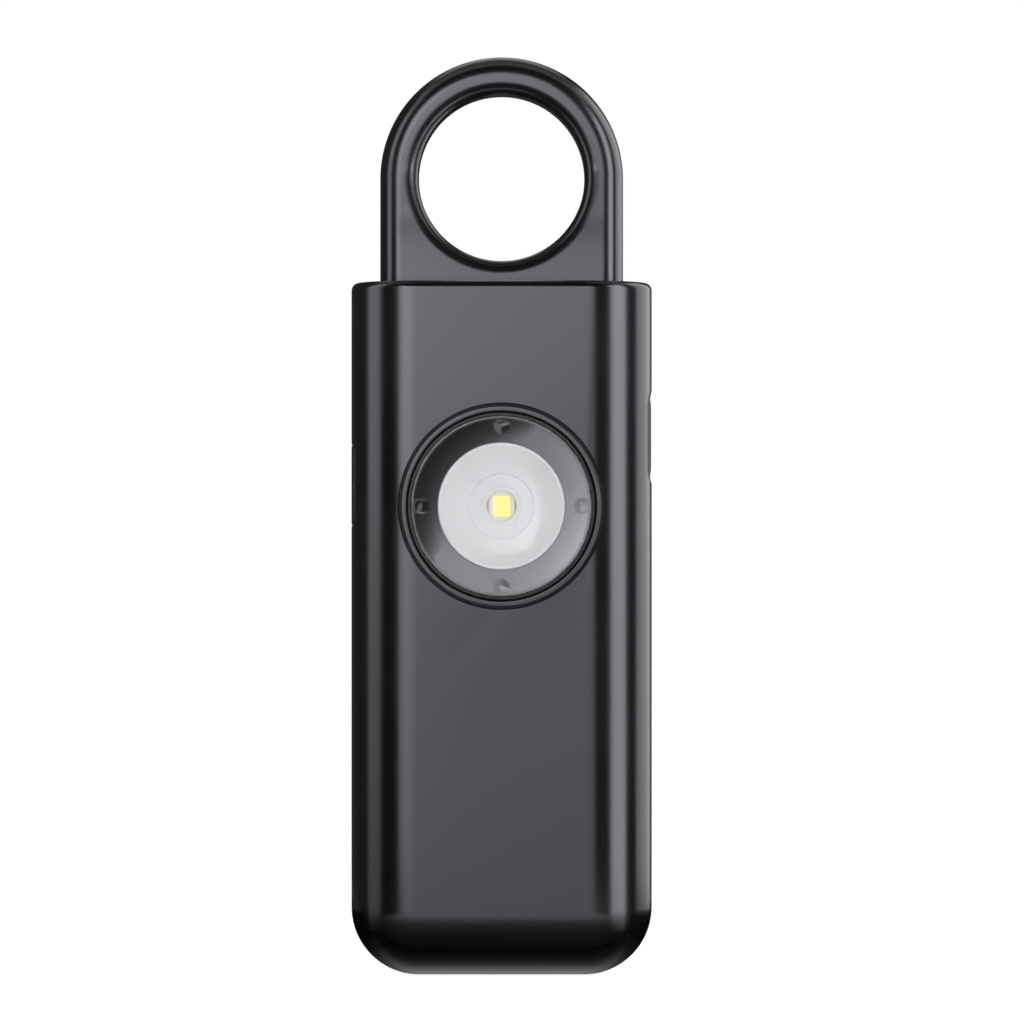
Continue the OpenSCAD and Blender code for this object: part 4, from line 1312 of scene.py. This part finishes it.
def glow_material(name, *fades):
    """Light sheet. Each fade is an axis, its start and end in millimetres, and its stops of strength."""
    made, tree = bare_material(name)
    split = add_node(tree, "ShaderNodeSeparateXYZ", Vector=object_spot(tree))
    strength = None
    for letter, start, end, levels in fades:
        span = add_node(tree, "ShaderNodeMapRange", Value=split.outputs[letter], From_Min=start * MM,
                        From_Max=end * MM)
        curve = add_node(tree, "ShaderNodeFloatCurve", Value=span.outputs["Result"])
        points = curve.mapping.curves[0].points
        top = max(level for _, level in levels)
        points[0].location = (levels[0][0], levels[0][1] / top)
        points[1].location = (levels[-1][0], levels[-1][1] / top)
        for at, level in levels[1:-1]:
            points.new(at, level / top)
        for point in points:
            point.handle_type = "VECTOR"
        curve.mapping.update()
        fade = add_math(tree, "MULTIPLY", curve.outputs["Value"], top)
        strength = fade if strength is None else add_math(tree, "MULTIPLY", strength, fade)
    glow = add_node(tree, "ShaderNodeEmission", Strength=strength)
    add_node(tree, "ShaderNodeOutputMaterial", Surface=glow.outputs["Emission"])
    return made


def flag_material():
    """Dead black of the flags."""
    made = bpy.data.materials.new("studio_flag")
    made.use_nodes = True
    shader = made.node_tree.nodes["Principled BSDF"]
    feed_node(made.node_tree, shader, {"Base_Color": FLAG_BLACK, "Roughness": 1, "Specular_IOR_Level": 0})
    return made


def studio_world():
    """Air that is white as a background and lights the object only a little."""
    world = bpy.data.worlds.new("studio")
    world.use_nodes = True
    tree = world.node_tree
    tree.nodes.clear()
    strength = add_node(tree, "ShaderNodeMapRange", Value=background_rays(tree), To_Min=AIR_GLOW, To_Max=1.0)
    sky = add_node(tree, "ShaderNodeBackground", Color=(1, 1, 1, 1), Strength=strength.outputs["Result"])
    add_node(tree, "ShaderNodeOutputWorld", Surface=sky.outputs["Background"])
    return world


def stage_sheet(name, corners, material):
    """Flat sheet of the studio, which is no piece of the object."""
    mesh = bpy.data.meshes.new(name)
    mesh.from_pydata([Vector(c) * MM for c in corners], [], [list(range(len(corners)))])
    mesh.materials.append(material)
    sheet = linked(name, mesh)
    return sheet


def hidden_sheet(name, corners, material, lights=False):
    """Sheet that the camera and shadows miss. Mirrors show it, and it may light the object."""
    sheet = stage_sheet(name, corners, material)
    sheet.visible_camera = False
    sheet.visible_shadow = False
    sheet.visible_diffuse = lights
    sheet.visible_transmission = True
    return sheet


def upright_sheet(name, start, end, heights, material, lights=False):
    """Hidden sheet that stands between two plan points."""
    low, high = heights
    corners = [(*start, low), (*end, low), (*end, high), (*start, high)]
    return hidden_sheet(name, corners, material, lights)


def level_sheet(name, corners, height, material):
    """Hidden sheet that lies through plan points."""
    return hidden_sheet(name, [(*corner, height) for corner in corners], material)


def band(half_width, front, back):
    """Plan corners of a band that lies evenly to both sides of the middle."""
    return [(-half_width, front), (half_width, front), (half_width, back), (-half_width, back)]


floor_corners = [(*corner, 0) for corner in band(FLOOR_HALF_W, -FLOOR_HALF_W, FLOOR_HALF_W)]
stage_sheet("studio_floor", floor_corners, floor_material())

# Upright sheets and flags round the object
FLAG = flag_material()
CAMERA_AT = (1.09, -520, 48.5)
BOX_AHEAD = 87
BOX_Y = front_y - BOX_AHEAD
BOX_LEFT = -68
BOX_RIGHT = 34.6
BOX_TOP = 150
SIDE_X = 100
SIDE_TOP = 160
FLAG_TOP = 180
SHEET_FOOT = 0.5
FLAG_FOOT = 0.4
STEP = 1
LEFT_FRONT_Y = -41
LEFT_BACK_Y = 2
RIGHT_FRONT_Y = -93
RIGHT_BACK_Y = -31
BACK_SHEET_Y = 10
BACK_SHEET_END = (60, 75)
BACK_LEFT = -12
BACK_RIGHT = 10
BACK_Y = 190
DIM_GLOW = 0.055
FILL_GLOW = 1.35
flag_x = SIDE_X + STEP
side_heights = (SHEET_FOOT, SIDE_TOP)
front_glow = glow_material(
    "front_box",
    ("X", BOX_LEFT, BOX_RIGHT, [(0, 1.35), (0.26, 1.75), (0.5, 1.18), (0.62, 1.03), (1, 0.92)]),
    ("Z", SHEET_FOOT, BOX_TOP, [(0, 1.06), (0.26, 1.47), (0.48, 2.2), (0.75, 2.4), (1, 2.45)]))
left_glow = glow_material(
    "left_strip", ("Z", *side_heights, [(0, 0.65), (0.155, 0.94), (0.43, 1.72), (1, 2.0)]))
right_glow = glow_material(
    "right_strip", ("Z", *side_heights, [(0, 3.5), (0.155, 3.44), (0.43, 4.1), (1, 4.4)]))
dim_glow = glow_material("dim_sheet", ("Z", SHEET_FOOT, FLAG_TOP, [(0, DIM_GLOW), (1, DIM_GLOW)]))
back_glow = glow_material("right_back_sheet", ("Z", *side_heights, [(0, 1.3), (0.4, 1.7), (1, 1.8)]))
fill_glow = glow_material("right_fill", ("Z", *side_heights, [(0, FILL_GLOW), (1, FILL_GLOW)]))
upright_sheet("front_box", (BOX_LEFT, BOX_Y), (BOX_RIGHT, BOX_Y), (SHEET_FOOT, BOX_TOP), front_glow,
              lights=True)
upright_sheet("left_strip", (-SIDE_X, LEFT_FRONT_Y), (-SIDE_X, LEFT_BACK_Y), side_heights, left_glow,
              lights=True)
upright_sheet("right_strip", (SIDE_X, RIGHT_FRONT_Y), (SIDE_X, RIGHT_BACK_Y), side_heights, right_glow,
              lights=True)
fill = upright_sheet("right_fill", (BOX_RIGHT + 2 * STEP, BOX_Y), (SIDE_X - STEP, RIGHT_BACK_Y), side_heights,
                     fill_glow, lights=True)
fill.visible_glossy = False
upright_sheet("right_back_sheet", (flag_x, BACK_SHEET_Y), BACK_SHEET_END, side_heights, back_glow)
for name, start, end, material in (
        ("flag_left_front", (BOX_LEFT - STEP, BOX_Y), (-flag_x, LEFT_FRONT_Y - STEP), FLAG),
        ("dim_left_back", (-flag_x, LEFT_BACK_Y + STEP), (BACK_LEFT, BACK_Y), dim_glow),
        ("flag_right_front", (BOX_RIGHT + STEP, BOX_Y), (flag_x, RIGHT_FRONT_Y - STEP), FLAG),
        ("flag_right_side", (flag_x, RIGHT_BACK_Y + STEP), (flag_x, BACK_SHEET_Y - STEP), FLAG),
        ("flag_right_back", (BACK_SHEET_END[0], BACK_SHEET_END[1] + STEP), (BACK_RIGHT, BACK_Y), FLAG),
        ("dim_back", (BACK_LEFT, BACK_Y + STEP), (BACK_RIGHT, BACK_Y + STEP), dim_glow)):
    upright_sheet(name, start, end, (FLAG_FOOT, FLAG_TOP), material)

# Hood and roof
HOOD_HALF_W = 110
HOOD_BACK_Y = -22
HOOD_RISE = 75
ROOF_BACK_Y = 120
hood_low = BOX_TOP + STEP
hood_top = BOX_TOP + HOOD_RISE
hidden_sheet("flag_hood", [(-HOOD_HALF_W, BOX_Y, hood_low), (HOOD_HALF_W, BOX_Y, hood_low),
                           (HOOD_HALF_W, HOOD_BACK_Y, hood_top), (-HOOD_HALF_W, HOOD_BACK_Y, hood_top)], FLAG)
roof_glow = glow_material(
    "roof_sheet", ("Y", HOOD_BACK_Y, ROOF_BACK_Y, [(0, 0.6), (0.3, 0.45), (0.5, 0.2), (1, 0.12)]))
level_sheet("roof_sheet", band(HOOD_HALF_W, HOOD_BACK_Y, ROOF_BACK_Y), hood_top, roof_glow)

# Floor sheets that the lower edges mirror
LOW_NEAR_Y = -8
LOW_HALF_W = 36
LAP = 2
FOOT_MARGIN = 4
APRON_REACH = 1.3
UNDER_FADE = 12
UNDER_BACK_Y = 180
LOW_LEFT_BACK_Y = 170
LOW_RIGHT_BACK_Y = 160
LOW_FLAG_Z = 0.3
LOW_SHEET_Z = 0.4
CORNER_SHEET_Z = 0.45
UNDER_SHEET_Z = 0.02
RIGHT_FADE_X = 15
LEFT_FADE_X = -19
low_front_y = BOX_Y + STEP
apron_back_y = front_y + APRON_REACH
foot_x = half_w + FOOT_MARGIN
under_half_w = foot_x + LAP
low_glow = glow_material(
    "low_sheet", ("Y", BOX_Y, LOW_NEAR_Y,
                  [(0, 1.1), (0.74, 1.0), (0.82, 0.4), (0.9, 0.16), (0.965, 0.05), (1, 0.02)]))
under_glow = glow_material(
    "under_sheet",
    ("Y", apron_back_y, apron_back_y + UNDER_FADE,
     [(0, 0.02), (0.107, 0.077), (0.155, 0.174), (0.202, 0.345), (0.25, 0.55), (0.308, 0.65), (0.373, 0.46),
      (0.404, 0.31), (0.6, 0.22), (1, 0.1)]),
    ("X", -under_half_w, under_half_w,
     [(0, 0.02), (0.14, 0.1), (0.22, 0.5), (0.3, 1), (0.7, 1), (0.78, 0.5), (0.86, 0.1), (1, 0.02)]))
right_low_glow = glow_material(
    "right_low_sheet", ("X", RIGHT_FADE_X, SIDE_X,
                        [(0, 0.02), (0.035, 0.1), (0.082, 0.5), (0.212, 1.5), (0.53, 2.8), (1, 3.4)]))
left_low_glow = glow_material(
    "left_low_sheet", ("X", -SIDE_X, LEFT_FADE_X,
                       [(0, 0.65), (0.5, 0.5), (0.73, 0.3), (0.9, 0.12), (0.96, 0.05), (1, 0.02)]))
level_sheet("low_sheet", band(LOW_HALF_W, low_front_y, LOW_NEAR_Y), LOW_SHEET_Z, low_glow)
for near_x, far_x in ((-LOW_HALF_W, -SIDE_X), (LOW_HALF_W, SIDE_X)):
    level_sheet("flag_low_front", [(near_x, low_front_y), (far_x, low_front_y), (far_x, LOW_NEAR_Y),
                                   (near_x, LOW_NEAR_Y)], LOW_FLAG_Z, FLAG)
level_sheet("flag_apron", band(SIDE_X, LOW_NEAR_Y - LAP, apron_back_y), LOW_FLAG_Z, FLAG)
level_sheet("flag_low_left", [(-foot_x, apron_back_y), (-foot_x, LOW_LEFT_BACK_Y),
                              (-SIDE_X, LEFT_BACK_Y + STEP), (-SIDE_X, apron_back_y)], LOW_FLAG_Z, FLAG)
level_sheet("flag_low_right", [(foot_x, apron_back_y), (SIDE_X, apron_back_y), (SIDE_X, BACK_SHEET_Y),
                               BACK_SHEET_END, (foot_x, LOW_RIGHT_BACK_Y)], LOW_FLAG_Z, FLAG)
level_sheet("under_sheet", band(under_half_w, apron_back_y - LAP, UNDER_BACK_Y), UNDER_SHEET_Z, under_glow)
level_sheet("right_low_sheet", [(16.1, -10.8), (20.4, -7.2), (38.9, -13.3), (SIDE_X, RIGHT_BACK_Y),
                                (SIDE_X, RIGHT_FRONT_Y), (28, -23.3)], CORNER_SHEET_Z, right_low_glow)
level_sheet("left_low_sheet", [(-19.6, -8.1), (-23, -3.2), (-45.7, -2.3), (-SIDE_X, LEFT_BACK_Y),
                               (-SIDE_X, LEFT_FRONT_Y), (-36.9, -15.8)], CORNER_SHEET_Z, left_low_glow)

# Small flags edge-on to the camera, which darken the ring's hole, the case's top and one side of the lens
RING_FLAG_HALF_W = 9.5
RING_FLAG_Y = (-33, -6)
RING_FLAG_LIFT = 1
TOP_FLAG_Y = (-24, -12)
TOP_FLAG_LIFT = 7.5
SLANT = math.radians(51)
SLANT_OFF = 6.0
SLANT_NEAR = 22
SLANT_FAR = 86
# Corners of the slanted flag: place along the slant, and distance ahead of the front
SLANT_SPOTS = ((-26, 50), (-8, SLANT_NEAR), (8, SLANT_NEAR), (28, 54), (28, SLANT_FAR), (-26, SLANT_FAR))
level_sheet("flag_ring", band(RING_FLAG_HALF_W, *RING_FLAG_Y), ring_z + RING_FLAG_LIFT, FLAG)
level_sheet("flag_top", band(half_w, *TOP_FLAG_Y), body_h + TOP_FLAG_LIFT, FLAG)
slant_corners = []
for along, ahead in SLANT_SPOTS:
    spread = 1 + ahead / (front_y - CAMERA_AT[1])
    across = SLANT_OFF * math.sin(SLANT) + along * math.cos(SLANT)
    up = along * math.sin(SLANT) - SLANT_OFF * math.cos(SLANT)
    slant_corners.append((CAMERA_AT[0] + spread * across, front_y - ahead, CAMERA_AT[2] + spread * up))
lens_glow = glow_material(
    "lens_flag", ("Y", front_y - SLANT_FAR, front_y - SLANT_NEAR,
                  [(0, 1.75), (0.25, 1.35), (0.45, 0.85), (0.65, 0.4), (0.85, 0.16), (1, 0.1)]))
hidden_sheet("flag_lens", slant_corners, lens_glow)

bpy.context.scene.world = studio_world()

# Camera
lens_data = bpy.data.cameras.new("photo_camera")
lens_data.sensor_width = 36
lens_data.lens = 174
lens_data.clip_start = 0.01
camera = linked("photo_camera", lens_data)
camera.location = Vector(CAMERA_AT) * MM
camera.rotation_euler = (math.pi / 2, 0, 0)
bpy.context.scene.camera = camera
bpy.context.scene.view_settings.view_transform = "Standard"
